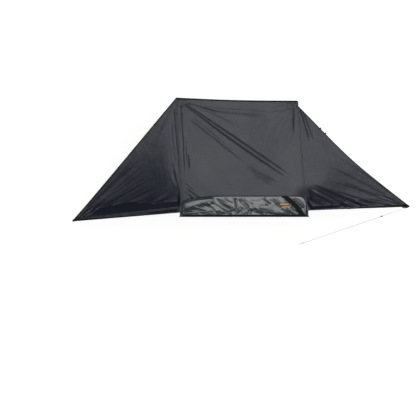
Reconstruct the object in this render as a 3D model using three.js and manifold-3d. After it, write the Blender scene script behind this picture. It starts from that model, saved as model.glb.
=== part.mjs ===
// Vehicle side awning: a 180 degree canopy on four swinging arms, opened out, with its cover laid back.
// Millimetres, +Z up. The origin is the middle of the rail's back face, the face that is bolted to a rack.
// +X runs along the rail, +Y points away from the vehicle.

import * as THREE from 'three';
import { mergeVertices } from 'three/addons/utils/BufferGeometryUtils.js';
import Module from 'manifold-3d';

const wasm = await Module();
wasm.setup();

// Clearances
const fitGap = 0.3;
const runningGap = 0.5;
const overrun = 5;

// Rail
const railLength = 2260;
const railDepth = 30;
const railHeight = 124;
const railTop = 46;
const railWall = 2.5;
const railCorner = 3;
const slotHeight = -42;
const slotMouth = 9;
const slotLip = 3;
const slotWidth = 17;
const slotDepth = 8;
const grooveRadius = 3.5;
const grooveMouth = 3;
const canopyGrooveDepth = 22;
const coverGrooveDepth = 8;
const railRib = 2.5;
const endCapThickness = 6;
const endCapBevel = 1.5;

// Arms
const armWidth = 30;
const armHeight = 22;
const armWall = 2;
const armCorner = 3;
const socketLength = 50;
const knuckleLength = 42;
const tipLength = 60;
const boltRadius = 5;
const boltHeadRadius = 9;
const boltHeadHeight = 5;
const nutHeight = 6;
const leftEndReach = 1925;
const leftMidReach = 1995;
const rightMidReach = 1985;
const rightEndReach = 1812;

// Arm directions when open, in degrees from +X
const leftEndHeading = 186.8;
const leftMidHeading = 93.8;
const rightMidHeading = 93.6;
const rightEndHeading = 2.0;

// Hubs
const endPivotInset = 30;
const midPivotInset = 70;
const firstLane = 50;
const lanePitch = 40;
const plateThickness = 5;
const flangeThickness = 4;
const hubMargin = 22;
const gussetThickness = 4;
const gussetDepth = 22;
const flangeHole = 4.5;

// Legs
const legRadius = 12;
const legWall = 1.5;
const innerLegRadius = 10;
const legGap = 2.5;
const outerLegLength = 1040;
const innerLegLength = 1020;
const legPlugLength = 30;
const pinSetback = 24;
const pinRadius = 4;
const eyeRadius = 10;
const eyeWidth = 14;
const earThickness = 5.4;
const neckLength = 22;
const shoulderLength = 4;
const collarRadius = 14;
const collarGrip = 32;
const collarNose = 10;
const leverLength = 46;
const leverThickness = 4;
const leverWidth = 14;
const leverBarrelRadius = 3.4;
const leverPinRadius = 1.8;
const leverEarThickness = 2.4;
const leverSetback = 10;
const footLength = 42;
const footRadius = 13;
const footSole = 10;
const footGap = 1;
const clipThickness = 1.6;
const clipLength = 32;
const clipDrop = 5;
const clipSetback = 900;

// Stacking: the left pair of arms swings above the right pair
const levelGap = 5.5;
const upperLevel = 22;

// Guy rope
const ropeRadius = 2;
const ropeSag = 12;
const ropeSteps = 40;
const hookX = 1040;
const hookY = -480;
const hookZ = -500;
const guyEyeRadius = 7;
const guyEyeHole = 3.4;
const guyEyeThickness = 6;
const sliderLength = 46;
const sliderWidth = 17;
const sliderThickness = 9;
const sliderTravel = 500;
const hookWire = 2.5;
const hookBend = 12;
const hookShank = 34;
const hookEyeRadius = 6;

// Canopy and cover
const clothThickness = 1.5;
const canopySag = 80;
const sidePanelSag = 130;
const hemBow = 14;
const leftHemBow = 4;
const rightHemBow = 68;
const foldDepth = 26;
const foldWidth = 95;
const fanDepth = 26;
const fanReach = 1150;
const seamGap = 2;
const hemOverhang = 18;
const armClear = 52;
const tipOverhang = 12;
const rightTipShort = 10;
const rightMidShort = 85;
const leftHubCornerDepth = 78;
const rightHubCornerDepth = 112;
const hubFlat = 205;
const leftSeamOut = 18;
const rightSeamOut = 33;
const coverInset = 40;
const coverDepth = 364;
const coverThickness = 1.8;
const coverCorner = 60;
const coverLeftSlant = 330;
const coverLeftRise = 130;
const coverRightSlant = 125;
const coverRightRise = 250;
const coverBead = 4;

// Facets
const roundSides = 20;
const smallSides = 12;
const arcSegments = 5;
const ropeSides = 8;
const cornerSegments = 2;

// Folds of the canopy: [from across, from out, to across, to out, depth], all as shares of the panel
const centreFoldShares = [
  [0.02, 0.97, 0.44, 0.7, 0.8],
  [0.3, 0.79, 0.9, 0.36, 1],
  [0.1, 0.84, 0.5, 0.52, 0.5],
  [0.58, 0.42, 0.86, 0.44, 0.35],
  [0.04, 0.99, 0.55, 0.93, 0.4],
  [0.97, 0.95, 0.8, 0.7, 0.35],
];
// The sag is greatest short of the hem, and the folds fade out towards the arms and the hub
const hemSagShare = 0.87;
const edgeRampShare = 4;
const hubRampShare = 3;
// Fans of folds that start at a side panel's far corner: [direction, depth]
const sideFoldShares = [
  [0.2, 0.5],
  [0.42, 0.9],
  [0.62, 0.6],
  [0.82, 1],
];

const legDrop = armHeight / 2 + legGap + legRadius;
const levelPitch = armHeight + legGap + legRadius * 2 + levelGap;
const lowerLevel = upperLevel - levelPitch;
const pinReachFrom = (reach) => reach - pinSetback;
const railFront = railDepth;
const railBottom = railTop - railHeight;
const endPivotX = railLength / 2 - endPivotInset;
const midPivotX = railLength / 2 - midPivotInset;
const coverLength = railLength - coverInset * 2;

// Each arm: its pivot, its level, its direction when open, and the side of it that faces outward
const arms = {
  left_end: {
    x: -endPivotX,
    y: firstLane + lanePitch * 3,
    z: upperLevel,
    reach: leftEndReach,
    heading: leftEndHeading,
    side: 1,
  },
  left_mid: {
    x: -midPivotX,
    y: firstLane + lanePitch,
    z: upperLevel,
    reach: leftMidReach,
    heading: leftMidHeading,
    side: 1,
  },
  right_mid: {
    x: midPivotX,
    y: firstLane,
    z: lowerLevel,
    reach: rightMidReach,
    heading: rightMidHeading,
    side: -1,
  },
  right_end: {
    x: endPivotX,
    y: firstLane + lanePitch * 2,
    z: lowerLevel,
    reach: rightEndReach,
    heading: rightEndHeading,
    side: -1,
  },
};

// Finishes, read off the photograph
const finishes = {
  anodised: { color: 0x3a3c40, roughness: 0.42, metalness: 0.9 },
  silver: { color: 0xb4b7ba, roughness: 0.35, metalness: 1 },
  coated: { color: 0x1d1e20, roughness: 0.5, metalness: 0.6 },
  zinc: { color: 0x9b9ea1, roughness: 0.4, metalness: 1 },
  moulded: { color: 0x17181a, roughness: 0.6, metalness: 0 },
  rubber: { color: 0x101112, roughness: 0.85, metalness: 0 },
  canvas: { color: 0x45454d, roughness: 0.75, metalness: 0 },
  vinyl: { color: 0x565b60, roughness: 0.35, metalness: 0 },
  cord: { color: 0xe4e5e6, roughness: 0.8, metalness: 0 },
};

const xAxis = new THREE.Vector3(1, 0, 0);
const yAxis = new THREE.Vector3(0, 1, 0);
const zAxis = new THREE.Vector3(0, 0, 1);

const awning = new THREE.Group();

// Solids

function positionsOnly(geometry) {
  const bare = geometry.clone();
  bare.deleteAttribute('normal');
  bare.deleteAttribute('uv');
  const merged = mergeVertices(bare);
  const index = merged.index.array;
  const kept = [];
  for (let i = 0; i < index.length; i += 3) {
    const [a, b, c] = [index[i], index[i + 1], index[i + 2]];
    if (a !== b && b !== c && c !== a) {
      kept.push(a, b, c);
    }
  }
  merged.setIndex(kept);
  return merged;
}

function solidOf(geometry) {
  const bare = positionsOnly(geometry);
  const mesh = new wasm.Mesh({
    numProp: 3,
    vertProperties: new Float32Array(bare.attributes.position.array),
    triVerts: new Uint32Array(bare.index.array),
  });
  return new wasm.Manifold(mesh);
}

function geometryOf(solid) {
  const mesh = solid.getMesh();
  const geometry = new THREE.BufferGeometry();
  const positions = new THREE.BufferAttribute(Float32Array.from(mesh.vertProperties), 3);
  geometry.setAttribute('position', positions);
  geometry.setIndex(Array.from(mesh.triVerts));
  const faceted = geometry.toNonIndexed();
  faceted.computeVertexNormals();
  return faceted;
}

function join(...geometries) {
  const [first, ...rest] = geometries.map(solidOf);
  return geometryOf(rest.reduce((whole, next) => whole.add(next), first));
}

function cut(geometry, ...tools) {
  const whole = solidOf(geometry);
  return geometryOf(tools.map(solidOf).reduce((left, tool) => left.subtract(tool), whole));
}

function piece(parent, name, geometry, finish) {
  const mesh = new THREE.Mesh(geometry, new THREE.MeshStandardMaterial(finishes[finish]));
  mesh.name = name;
  parent.add(mesh);
  return mesh;
}

// Outlines

function roundedRectangle(width, height, corner) {
  const shape = new THREE.Shape();
  const x = width / 2 - corner;
  const y = height / 2 - corner;
  shape.absarc(x, y, corner, 0, Math.PI / 2);
  shape.absarc(-x, y, corner, Math.PI / 2, Math.PI);
  shape.absarc(-x, -y, corner, Math.PI, Math.PI * 1.5);
  shape.absarc(x, -y, corner, Math.PI * 1.5, Math.PI * 2);
  return shape;
}

function withHole(shape, hole) {
  shape.holes.push(hole);
  return shape;
}

function circle(radius, x = 0, y = 0) {
  const path = new THREE.Path();
  path.absarc(x, y, radius, 0, Math.PI * 2);
  return path;
}

// Raised from the XY plane
function upward(shape, depth, segments = cornerSegments) {
  return new THREE.ExtrudeGeometry(shape, { depth, bevelEnabled: false, curveSegments: segments });
}

// A section in the YZ plane, drawn along +X
function alongX(shape, length, segments = cornerSegments) {
  const turned = new THREE.Matrix4().makeBasis(yAxis, zAxis, xAxis);
  return upward(shape, length, segments).applyMatrix4(turned);
}

// A side view in the XZ plane, centred across Y
function acrossY(shape, width, segments = cornerSegments) {
  const turned = new THREE.Matrix4().makeBasis(xAxis, zAxis, yAxis.clone().negate());
  return upward(shape, width, segments).applyMatrix4(turned).translate(0, width / 2, 0);
}

function rodX(radius, length, sides = roundSides) {
  const rod = new THREE.CylinderGeometry(radius, radius, length, sides);
  return rod.rotateZ(-Math.PI / 2).translate(length / 2, 0, 0);
}

function rodY(radius, length, sides = smallSides) {
  return new THREE.CylinderGeometry(radius, radius, length, sides);
}

function rodZ(radius, length, sides = smallSides) {
  return new THREE.CylinderGeometry(radius, radius, length, sides).rotateX(Math.PI / 2);
}

// A turned body along +X from its profile of [along, radius]
function turnedX(profile, sides = roundSides) {
  const points = profile.map(([along, radius]) => new THREE.Vector2(radius, along));
  return new THREE.LatheGeometry(points, sides).rotateZ(-Math.PI / 2);
}

// Rail

function railSection() {
  const middle = railTop - railHeight / 2;
  const outline = roundedRectangle(railDepth, railHeight, railCorner);
  return alongX(outline, railLength).translate(-railLength / 2, railDepth / 2, middle);
}

function chamber(bottom, top, back, front) {
  const inside = roundedRectangle(front - back, top - bottom, railWall / 2);
  const long = railLength + overrun * 2;
  return alongX(inside, long).translate(-long / 2, (front + back) / 2, (top + bottom) / 2);
}

function groove(depth) {
  const long = railLength + overrun * 2;
  const centre = railTop - railWall - grooveRadius;
  const bore = rodX(grooveRadius, long, smallSides).translate(-long / 2, depth, centre);
  const tall = railTop - centre + overrun;
  const mouth = new THREE.BoxGeometry(long, grooveMouth, tall);
  return [bore, mouth.translate(0, depth, centre + tall / 2)];
}

function buildRail() {
  const slotTop = slotHeight + slotWidth / 2;
  const slotBottom = slotHeight - slotWidth / 2;
  const grooveFloor = railTop - railWall * 2 - grooveRadius * 2;
  const back = railWall;
  const front = railDepth - railWall;
  const behindSlot = slotLip + slotDepth + railRib;
  const slotMouthCut = new THREE.BoxGeometry(railLength + overrun * 2, slotLip + overrun, slotMouth);
  const slotInside = new THREE.BoxGeometry(railLength + overrun * 2, slotDepth, slotWidth);
  const rail = cut(
    railSection(),
    slotMouthCut.translate(0, (slotLip - overrun) / 2 + runningGap, slotHeight),
    slotInside.translate(0, slotLip + slotDepth / 2, slotHeight),
    ...groove(canopyGrooveDepth),
    ...groove(coverGrooveDepth),
    chamber(slotTop + railRib, grooveFloor, back, front),
    chamber(slotBottom, slotTop, behindSlot, front),
    chamber(railBottom + railWall, slotBottom - railRib, back, front),
  );
  piece(awning, 'mounting_rail', rail, 'anodised');
}

function buildEndCap(name, side) {
  const outline = roundedRectangle(railDepth - endCapBevel * 2, railHeight - endCapBevel * 2, railCorner);
  const plate = new THREE.ExtrudeGeometry(outline, {
    depth: endCapThickness - endCapBevel,
    bevelThickness: endCapBevel,
    bevelSize: endCapBevel,
    bevelSegments: 2,
    curveSegments: cornerSegments,
  });
  const turned = new THREE.Matrix4().makeBasis(yAxis, zAxis, xAxis);
  const shell = plate.applyMatrix4(turned);
  const flat = new THREE.BoxGeometry(endCapBevel * 2, railDepth * 2, railHeight * 2);
  const face = cut(shell, flat.translate(-endCapBevel, 0, 0));
  const cap = new THREE.Group();
  cap.position.set(side * (railLength / 2 + fitGap), railDepth / 2, railTop - railHeight / 2);
  cap.rotation.z = side > 0 ? 0 : Math.PI;
  awning.add(cap);
  piece(cap, name, face, 'moulded');
}

// Hubs: a flange on the rail's front, and two plates that hold the arm pivots

function hubOutline(mid, end) {
  const back = railFront + fitGap;
  const shape = new THREE.Shape();
  const edge = railLength / 2 - fitGap;
  const inner = midPivotX - hubMargin;
  const lean = Math.atan2(end.y - mid.y, endPivotX - midPivotX);
  shape.moveTo(inner, back);
  shape.lineTo(edge, back);
  shape.lineTo(edge, end.y);
  shape.absarc(endPivotX, end.y, edge - endPivotX, 0, Math.PI / 2 + lean);
  shape.absarc(midPivotX, mid.y, hubMargin, Math.PI / 2 + lean, Math.PI);
  return shape;
}

function hubPlate(mid, end) {
  const plate = upward(hubOutline(mid, end), plateThickness, arcSegments);
  const tall = plateThickness + overrun * 2;
  const bore = boltRadius + fitGap;
  return cut(
    plate,
    rodZ(bore, tall).translate(midPivotX, mid.y, plateThickness / 2),
    rodZ(bore, tall).translate(endPivotX, end.y, plateThickness / 2),
  );
}

function hubFlange() {
  const width = railLength / 2 - fitGap - (midPivotX - hubMargin);
  const outline = roundedRectangle(width, railHeight - railCorner * 2, railCorner);
  const holeX = width / 2 - flangeHole * 2;
  const holeZ = railHeight / 2 - railCorner - flangeHole * 2;
  for (const x of [-holeX, holeX]) {
    for (const z of [-holeZ, holeZ]) {
      outline.holes.push(circle(flangeHole, x, z));
    }
  }
  const centre = railLength / 2 - fitGap - width / 2;
  const back = railFront + fitGap + flangeThickness / 2;
  return acrossY(outline, flangeThickness, arcSegments).translate(centre, back, railTop - railHeight / 2);
}

function gusset(x, top) {
  const shape = new THREE.Shape();
  const back = railFront + fitGap + flangeThickness / 2;
  const drop = Math.min(gussetDepth, top - railBottom - railCorner * 2);
  shape.moveTo(back, top + plateThickness / 2);
  shape.lineTo(back + gussetDepth, top + plateThickness / 2);
  shape.lineTo(back + gussetDepth, top - plateThickness / 2);
  shape.lineTo(back, top - drop);
  return alongX(shape, gussetThickness).translate(x - gussetThickness / 2, 0, 0);
}

function buildHub(name, side, mid, end) {
  const top = mid.z + armHeight / 2 + runningGap;
  const bottom = mid.z - armHeight / 2 - runningGap - plateThickness;
  const innerGusset = midPivotX - hubMargin + gussetThickness;
  const outerGusset = railLength / 2 - fitGap - gussetThickness;
  const bracket = join(
    hubFlange(),
    hubPlate(mid, end).translate(0, 0, top),
    hubPlate(mid, end).translate(0, 0, bottom),
    gusset(innerGusset, bottom),
    gusset(outerGusset, bottom),
  );
  const placed = side > 0 ? bracket : mirroredX(bracket);
  piece(awning, name, placed, 'coated');
}

// The same solid on the other side of the YZ plane, with its faces still pointing out
function mirroredX(geometry) {
  const bare = positionsOnly(geometry);
  bare.scale(-1, 1, 1);
  const index = Array.from(bare.index.array);
  for (let i = 0; i < index.length; i += 3) {
    [index[i + 1], index[i + 2]] = [index[i + 2], index[i + 1]];
  }
  bare.setIndex(index);
  const faceted = bare.toNonIndexed();
  faceted.computeVertexNormals();
  return faceted;
}

function buildPivotBolt(name, arm) {
  const plateTop = armHeight / 2 + runningGap + plateThickness + fitGap;
  const shank = plateTop * 2 + boltHeadHeight + nutHeight;
  const middle = (boltHeadHeight - nutHeight) / 2;
  const bolt = join(
    rodZ(boltRadius, shank, smallSides).translate(0, 0, middle),
    rodZ(boltHeadRadius, boltHeadHeight, 6).translate(0, 0, plateTop + boltHeadHeight / 2),
    rodZ(boltHeadRadius, nutHeight, 6).translate(0, 0, -plateTop - nutHeight / 2),
  );
  piece(awning, name, bolt, 'zinc').position.set(arm.x, arm.y, arm.z);
}

// Arms, drawn along +X from the pivot

function armSection(shrink) {
  const corner = Math.max(armCorner - shrink, armWall / 2);
  return roundedRectangle(armWidth - shrink * 2, armHeight - shrink * 2, corner);
}

function knuckle() {
  const shape = new THREE.Shape();
  const half = armWidth / 2;
  shape.moveTo(knuckleLength, -half);
  shape.lineTo(knuckleLength, half);
  shape.absarc(0, 0, half, Math.PI / 2, Math.PI * 1.5);
  const body = upward(withHole(shape, circle(boltRadius + fitGap)), armHeight, arcSegments);
  const tongue = alongX(armSection(armWall + fitGap), socketLength + overrun);
  return join(
    body.translate(0, 0, -armHeight / 2),
    tongue.translate(knuckleLength - overrun, 0, 0),
  );
}

function tipEar(side) {
  const shape = new THREE.Shape();
  const bottom = -legDrop;
  shape.moveTo(-eyeRadius, bottom);
  shape.absarc(0, bottom, eyeRadius, Math.PI, Math.PI * 2);
  shape.lineTo(eyeRadius, -armHeight / 2 + armWall);
  shape.lineTo(-eyeRadius, -armHeight / 2 + armWall);
  const ear = acrossY(withHole(shape, circle(pinRadius + fitGap, 0, bottom)), earThickness, arcSegments);
  return ear.translate(0, side * (eyeWidth / 2 + runningGap + earThickness / 2), 0);
}

function tipFitting(reach, side) {
  const half = armWidth / 2;
  const start = reach - tipLength;
  const shape = new THREE.Shape();
  shape.moveTo(start, -half);
  shape.lineTo(reach - half, -half);
  shape.absarc(reach - half, 0, half, -Math.PI / 2, Math.PI / 2);
  shape.lineTo(start, half);
  const body = upward(shape, armHeight, arcSegments).translate(0, 0, -armHeight / 2);
  const plug = alongX(armSection(armWall + fitGap), socketLength + overrun);
  const pin = pinReachFrom(reach);
  const eye = new THREE.Shape();
  eye.absarc(0, 0, guyEyeRadius, 0, Math.PI * 2);
  const loop = upward(withHole(eye, circle(guyEyeHole)), guyEyeThickness, arcSegments);
  const out = half + guyEyeHole;
  return join(
    body,
    plug.translate(start - socketLength, 0, 0),
    tipEar(1).translate(pin, 0, 0),
    tipEar(-1).translate(pin, 0, 0),
    loop.translate(reach - half, side * out, -guyEyeThickness / 2),
  );
}

function armTube(reach) {
  const tube = withHole(armSection(0), armSection(armWall));
  const length = reach - tipLength - knuckleLength - fitGap * 2;
  return alongX(tube, length).translate(knuckleLength + fitGap, 0, 0);
}

function legClip() {
  const inner = legRadius + fitGap;
  const outer = inner + clipThickness;
  const top = -armHeight / 2 - fitGap;
  const bottom = -legDrop - clipDrop;
  const shape = new THREE.Shape();
  shape.moveTo(-outer, bottom);
  shape.lineTo(-inner, bottom);
  shape.lineTo(-inner, top - clipThickness);
  shape.lineTo(inner, top - clipThickness);
  shape.lineTo(inner, bottom);
  shape.lineTo(outer, bottom);
  shape.lineTo(outer, top);
  shape.lineTo(-outer, top);
  return alongX(shape, clipLength);
}

function buildArm(name, arm) {
  const group = new THREE.Group();
  group.position.set(arm.x, arm.y, arm.z);
  group.rotation.z = THREE.MathUtils.degToRad(arm.heading);
  awning.add(group);
  piece(group, `${name}_knuckle`, knuckle(), 'coated');
  piece(group, `${name}_arm`, armTube(arm.reach), 'anodised');
  piece(group, `${name}_tip`, tipFitting(arm.reach, arm.side), 'moulded');
  const clip = piece(group, `${name}_leg_clip`, legClip(), 'moulded');
  clip.position.x = pinReachFrom(arm.reach) - clipSetback;
  const leg = new THREE.Group();
  leg.position.set(pinReachFrom(arm.reach), 0, -legDrop);
  leg.rotation.z = Math.PI;
  group.add(leg);
  buildLeg(leg, name, arm.side);
}

// Legs, drawn along +X from the pin, the way that they lie under their arm

function legKnuckle() {
  const profile = new THREE.Shape();
  profile.absarc(0, 0, eyeRadius, Math.PI / 2, Math.PI * 1.5);
  profile.lineTo(neckLength + shoulderLength / 2, -eyeRadius);
  profile.lineTo(neckLength + shoulderLength / 2, eyeRadius);
  const tongue = acrossY(profile, eyeWidth, arcSegments);
  const pinLength = eyeWidth + (runningGap + earThickness) * 2;
  const start = neckLength;
  const end = start + shoulderLength;
  const plugRadius = legRadius - legWall - fitGap;
  const plug = turnedX([
    [start, 0],
    [start, legRadius],
    [end, legRadius],
    [end, plugRadius],
    [end + legPlugLength, plugRadius],
    [end + legPlugLength, 0],
  ]);
  return join(tongue, rodY(pinRadius, pinLength), plug);
}

function legTube(radius, length) {
  const shape = new THREE.Shape();
  shape.absarc(0, 0, radius, 0, Math.PI * 2);
  return alongX(withHole(shape, circle(radius - legWall)), length, roundSides / 2);
}

// A clamp round the end of the outer tube, with two small ears for its lever
function collar(side) {
  const gripBore = legRadius + fitGap;
  const noseBore = innerLegRadius + fitGap;
  const body = turnedX([
    [-collarGrip, gripBore],
    [-collarGrip, collarRadius - railWall / 2],
    [-collarGrip + railWall / 2, collarRadius],
    [collarNose - railWall / 2, collarRadius],
    [collarNose, collarRadius - railWall / 2],
    [collarNose, noseBore],
    [fitGap, noseBore],
    [fitGap, gripBore],
    [-collarGrip, gripBore],
  ]);
  const out = collarRadius + leverBarrelRadius;
  const ears = [];
  for (const up of [-1, 1]) {
    const ear = new THREE.Shape();
    ear.absarc(0, side * out, leverBarrelRadius, side > 0 ? 0 : Math.PI, side > 0 ? Math.PI : Math.PI * 2);
    ear.lineTo(-side * leverBarrelRadius, side * (gripBore + fitGap));
    ear.lineTo(side * leverBarrelRadius, side * (gripBore + fitGap));
    const hole = circle(leverPinRadius + fitGap, 0, side * out);
    const plate = upward(withHole(ear, hole), leverEarThickness, arcSegments);
    const height = leverWidth / 2 - leverEarThickness / 2;
    ears.push(plate.translate(-leverSetback, 0, up * height - leverEarThickness / 2));
  }
  return join(body, ...ears);
}

function lever(side) {
  const inside = leverWidth / 2 - leverEarThickness - fitGap;
  const barrel = rodZ(leverBarrelRadius - fitGap, inside * 2);
  const pin = rodZ(leverPinRadius, leverWidth, smallSides);
  const blade = new THREE.Shape();
  const near = -leverBarrelRadius + fitGap * 2;
  blade.moveTo(0, near);
  blade.lineTo(0, near + leverThickness);
  blade.lineTo(-leverLength / 2, near + leverThickness / 2);
  blade.lineTo(-leverLength, near + leverThickness);
  blade.lineTo(-leverLength, near + leverThickness / 2);
  blade.lineTo(-leverLength / 2, near);
  const arm = upward(blade, inside * 2).translate(0, 0, -inside);
  const shape = join(barrel, pin, arm);
  return side > 0 ? shape : turnedOver(shape);
}

// Half a turn about X puts the blade on the other side of the tube
function turnedOver(geometry) {
  return geometry.clone().rotateX(Math.PI);
}

function foot() {
  const bore = innerLegRadius + fitGap;
  const edge = footRadius / 6;
  return turnedX([
    [0, bore],
    [0, footRadius - edge],
    [edge, footRadius],
    [footLength * 0.4, footRadius - edge],
    [footLength * 0.7, footRadius - edge],
    [footLength - edge * 2, footRadius],
    [footLength - edge, footRadius],
    [footLength, footRadius - edge],
    [footLength, 0],
    [footLength - footSole, 0],
    [footLength - footSole, bore],
    [0, bore],
  ]);
}

function buildLeg(leg, name, side) {
  const top = neckLength + shoulderLength + fitGap;
  const bottom = top + outerLegLength;
  const footTop = bottom + collarNose + footGap;
  const innerEnd = footTop + footLength - footSole - fitGap;
  // The leg's frame is turned half round, so the arm's outward side is its other side
  const out = -side;
  piece(leg, `${name}_leg_knuckle`, legKnuckle(), 'moulded');
  piece(leg, `${name}_leg_outer`, legTube(legRadius, outerLegLength), 'anodised').position.x = top;
  piece(leg, `${name}_leg_collar`, collar(out), 'moulded').position.x = bottom;
  const handle = piece(leg, `${name}_leg_lever`, lever(out), 'moulded');
  const leverOut = out * (collarRadius + leverBarrelRadius);
  handle.position.set(bottom - leverSetback, leverOut, 0);
  const inner = piece(leg, `${name}_leg_inner`, legTube(innerLegRadius, innerLegLength), 'silver');
  inner.position.x = innerEnd - innerLegLength;
  piece(leg, `${name}_leg_foot`, foot(), 'rubber').position.x = footTop;
}

// A point of an arm in the awning's frame
function armPoint(arm, along, across = 0) {
  const turn = THREE.MathUtils.degToRad(arm.heading);
  return new THREE.Vector3(
    arm.x + along * Math.cos(turn) - across * Math.sin(turn),
    arm.y + along * Math.sin(turn) + across * Math.cos(turn),
    arm.z,
  );
}

// Canopy: three panels that lie on the arms, meet over the middle arms and sag between them

// A thin closed sheet. pointAt(across, out) gives its middle surface for shares from 0 to 1.
// Both faces are split along the same diagonals, so that the cloth keeps its thickness in a fold.
function sheet(pointAt, columns, rows) {
  const grid = positionsOnly(new THREE.PlaneGeometry(1, 1, columns, rows));
  const flat = grid.attributes.position;
  const faces = grid.index.array;
  const positions = new Float32Array(flat.count * 6);
  for (let i = 0; i < flat.count; i += 1) {
    const point = pointAt(flat.getX(i) + 0.5, flat.getY(i) + 0.5);
    const half = clothThickness / 2;
    positions.set([point.x, point.y, point.z + half], i * 3);
    positions.set([point.x, point.y, point.z - half], (flat.count + i) * 3);
  }
  const index = [];
  const inner = new Set();
  const edges = [];
  for (let i = 0; i < faces.length; i += 3) {
    const [a, b, c] = [faces[i], faces[i + 1], faces[i + 2]];
    index.push(a, b, c, a + flat.count, c + flat.count, b + flat.count);
    for (const [from, to] of [[a, b], [b, c], [c, a]]) {
      edges.push([from, to]);
      inner.add(`${from} ${to}`);
    }
  }
  for (const [from, to] of edges.filter(([a, b]) => !inner.has(`${b} ${a}`))) {
    index.push(to, from, from + flat.count, to, from + flat.count, to + flat.count);
  }
  const closed = new THREE.BufferGeometry();
  closed.setAttribute('position', new THREE.BufferAttribute(positions, 3));
  closed.setIndex(index);
  const faceted = closed.toNonIndexed();
  faceted.computeVertexNormals();
  return faceted;
}

function dip(distance, width) {
  return Math.exp(-((distance / width) ** 2));
}

// How far a fold between two points lowers the cloth at a third
function foldAt(point, from, to, depth) {
  const along = to.clone().sub(from);
  const share = point.clone().sub(from).dot(along) / along.lengthSq();
  const nearest = from.clone().addScaledVector(along, THREE.MathUtils.clamp(share, 0, 1));
  return depth * dip(point.distanceTo(nearest), foldWidth);
}

// 0 over the arms along both edges of a panel, and 1 half way between them
function clearOfArms(across, width) {
  const edge = Math.min(armClear / width, 0.5 - Number.EPSILON);
  const inner = THREE.MathUtils.clamp((across - edge) / (1 - edge * 2), 0, 1);
  return Math.sin(Math.PI * inner) ** 2;
}

const seatHeight = railTop + fitGap + clothThickness / 2 + runningGap;

// How far out of the hub a point of the cloth is: 0 over the hub, 1 at the tips
function pastHub(out) {
  const flatShare = hubFlat / leftMidReach;
  return THREE.MathUtils.clamp((out - flatShare) / (1 - flatShare), 0, 1);
}

// The cloth leaves the rail level, and comes down to its arm's tip
function clothHeight(level, out) {
  const tip = level + armHeight / 2 + runningGap + clothThickness;
  return THREE.MathUtils.lerp(seatHeight, tip, pastHub(out));
}

const leftTip = armPoint(arms.left_mid, leftMidReach + tipOverhang);
const rightTip = armPoint(arms.right_mid, rightMidReach + tipOverhang);
const leftFoot = new THREE.Vector3(-midPivotX - leftSeamOut, canopyGrooveDepth, 0);
const rightFoot = new THREE.Vector3(midPivotX + rightSeamOut, canopyGrooveDepth, 0);

function seamPoint(foot, tip, out, beside) {
  return new THREE.Vector3(
    THREE.MathUtils.lerp(foot.x, tip.x, out) + beside,
    THREE.MathUtils.lerp(foot.y, tip.y, out),
    0,
  );
}

function centrePlan(across, out) {
  const left = seamPoint(leftFoot, leftTip, out, seamGap / 2);
  const right = seamPoint(rightFoot, rightTip, out, -seamGap / 2);
  const point = left.lerp(right, across);
  point.y -= hemBow * Math.sin(Math.PI * across) * out * out;
  return point;
}

function centreSurface(across, out) {
  const point = centrePlan(across, out);
  const left = clothHeight(arms.left_mid.z, out);
  const right = clothHeight(arms.right_mid.z, out);
  const clear = clearOfArms(across, centrePlan(0, out).distanceTo(centrePlan(1, out)));
  let height = THREE.MathUtils.lerp(left, right, across);
  height -= canopySag * clear * Math.sin(Math.PI * pastHub(out) * hemSagShare);
  const spread = Math.min(1, clear * edgeRampShare) * Math.min(1, pastHub(out) * hubRampShare);
  for (const [fromX, fromY, toX, toY, depthShare] of centreFoldShares) {
    const from = centrePlan(fromX, fromY);
    const to = centrePlan(toX, toY);
    height -= foldAt(point, from, to, foldDepth * depthShare) * spread;
  }
  return new THREE.Vector3(point.x, point.y, height);
}

// A side panel, from its seam over the middle arm to its far edge over the end arm
function sidePanel(panel) {
  const { mid, foot, midTip, midShort, beside, endTip, hubDepth, bow } = panel;
  const hubShare = (hubDepth - foot.y) / (midTip.y - foot.y);
  const tipShare = 1 - midShort / foot.distanceTo(midTip);
  const hubCorner = new THREE.Vector3(Math.sign(mid.x) * (railLength / 2 - hemOverhang), hubDepth, 0);
  function seamShare(out) {
    return THREE.MathUtils.lerp(hubShare, tipShare, out);
  }
  function plan(across, out) {
    const near = seamPoint(foot, midTip, seamShare(out), beside);
    const far = hubCorner.clone().lerp(endTip, out);
    const point = near.clone().lerp(far, across);
    const inward = hubCorner.clone().sub(point).setZ(0).normalize();
    return point.addScaledVector(inward, bow * Math.sin(Math.PI * across) * out * out);
  }
  return (across, out) => {
    const point = plan(across, out);
    const clear = clearOfArms(across, plan(0, out).distanceTo(plan(1, out)));
    const near = clothHeight(mid.z, seamShare(out));
    let height = THREE.MathUtils.lerp(near, clothHeight(mid.z, out), across);
    height -= sidePanelSag * clear * Math.sin(Math.PI * pastHub(out) * hemSagShare);
    const spread = Math.min(1, clear * edgeRampShare) * Math.min(1, pastHub(out) * hubRampShare);
    const far = plan(1, 1);
    for (const [directionShare, depthShare] of sideFoldShares) {
      const aim = plan(1 - directionShare, 1 - directionShare / 2);
      const to = far.clone().addScaledVector(aim.sub(far).normalize(), fanReach);
      height -= foldAt(point, far, to, fanDepth * depthShare) * spread;
    }
    return new THREE.Vector3(point.x, point.y, height);
  };
}

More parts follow.
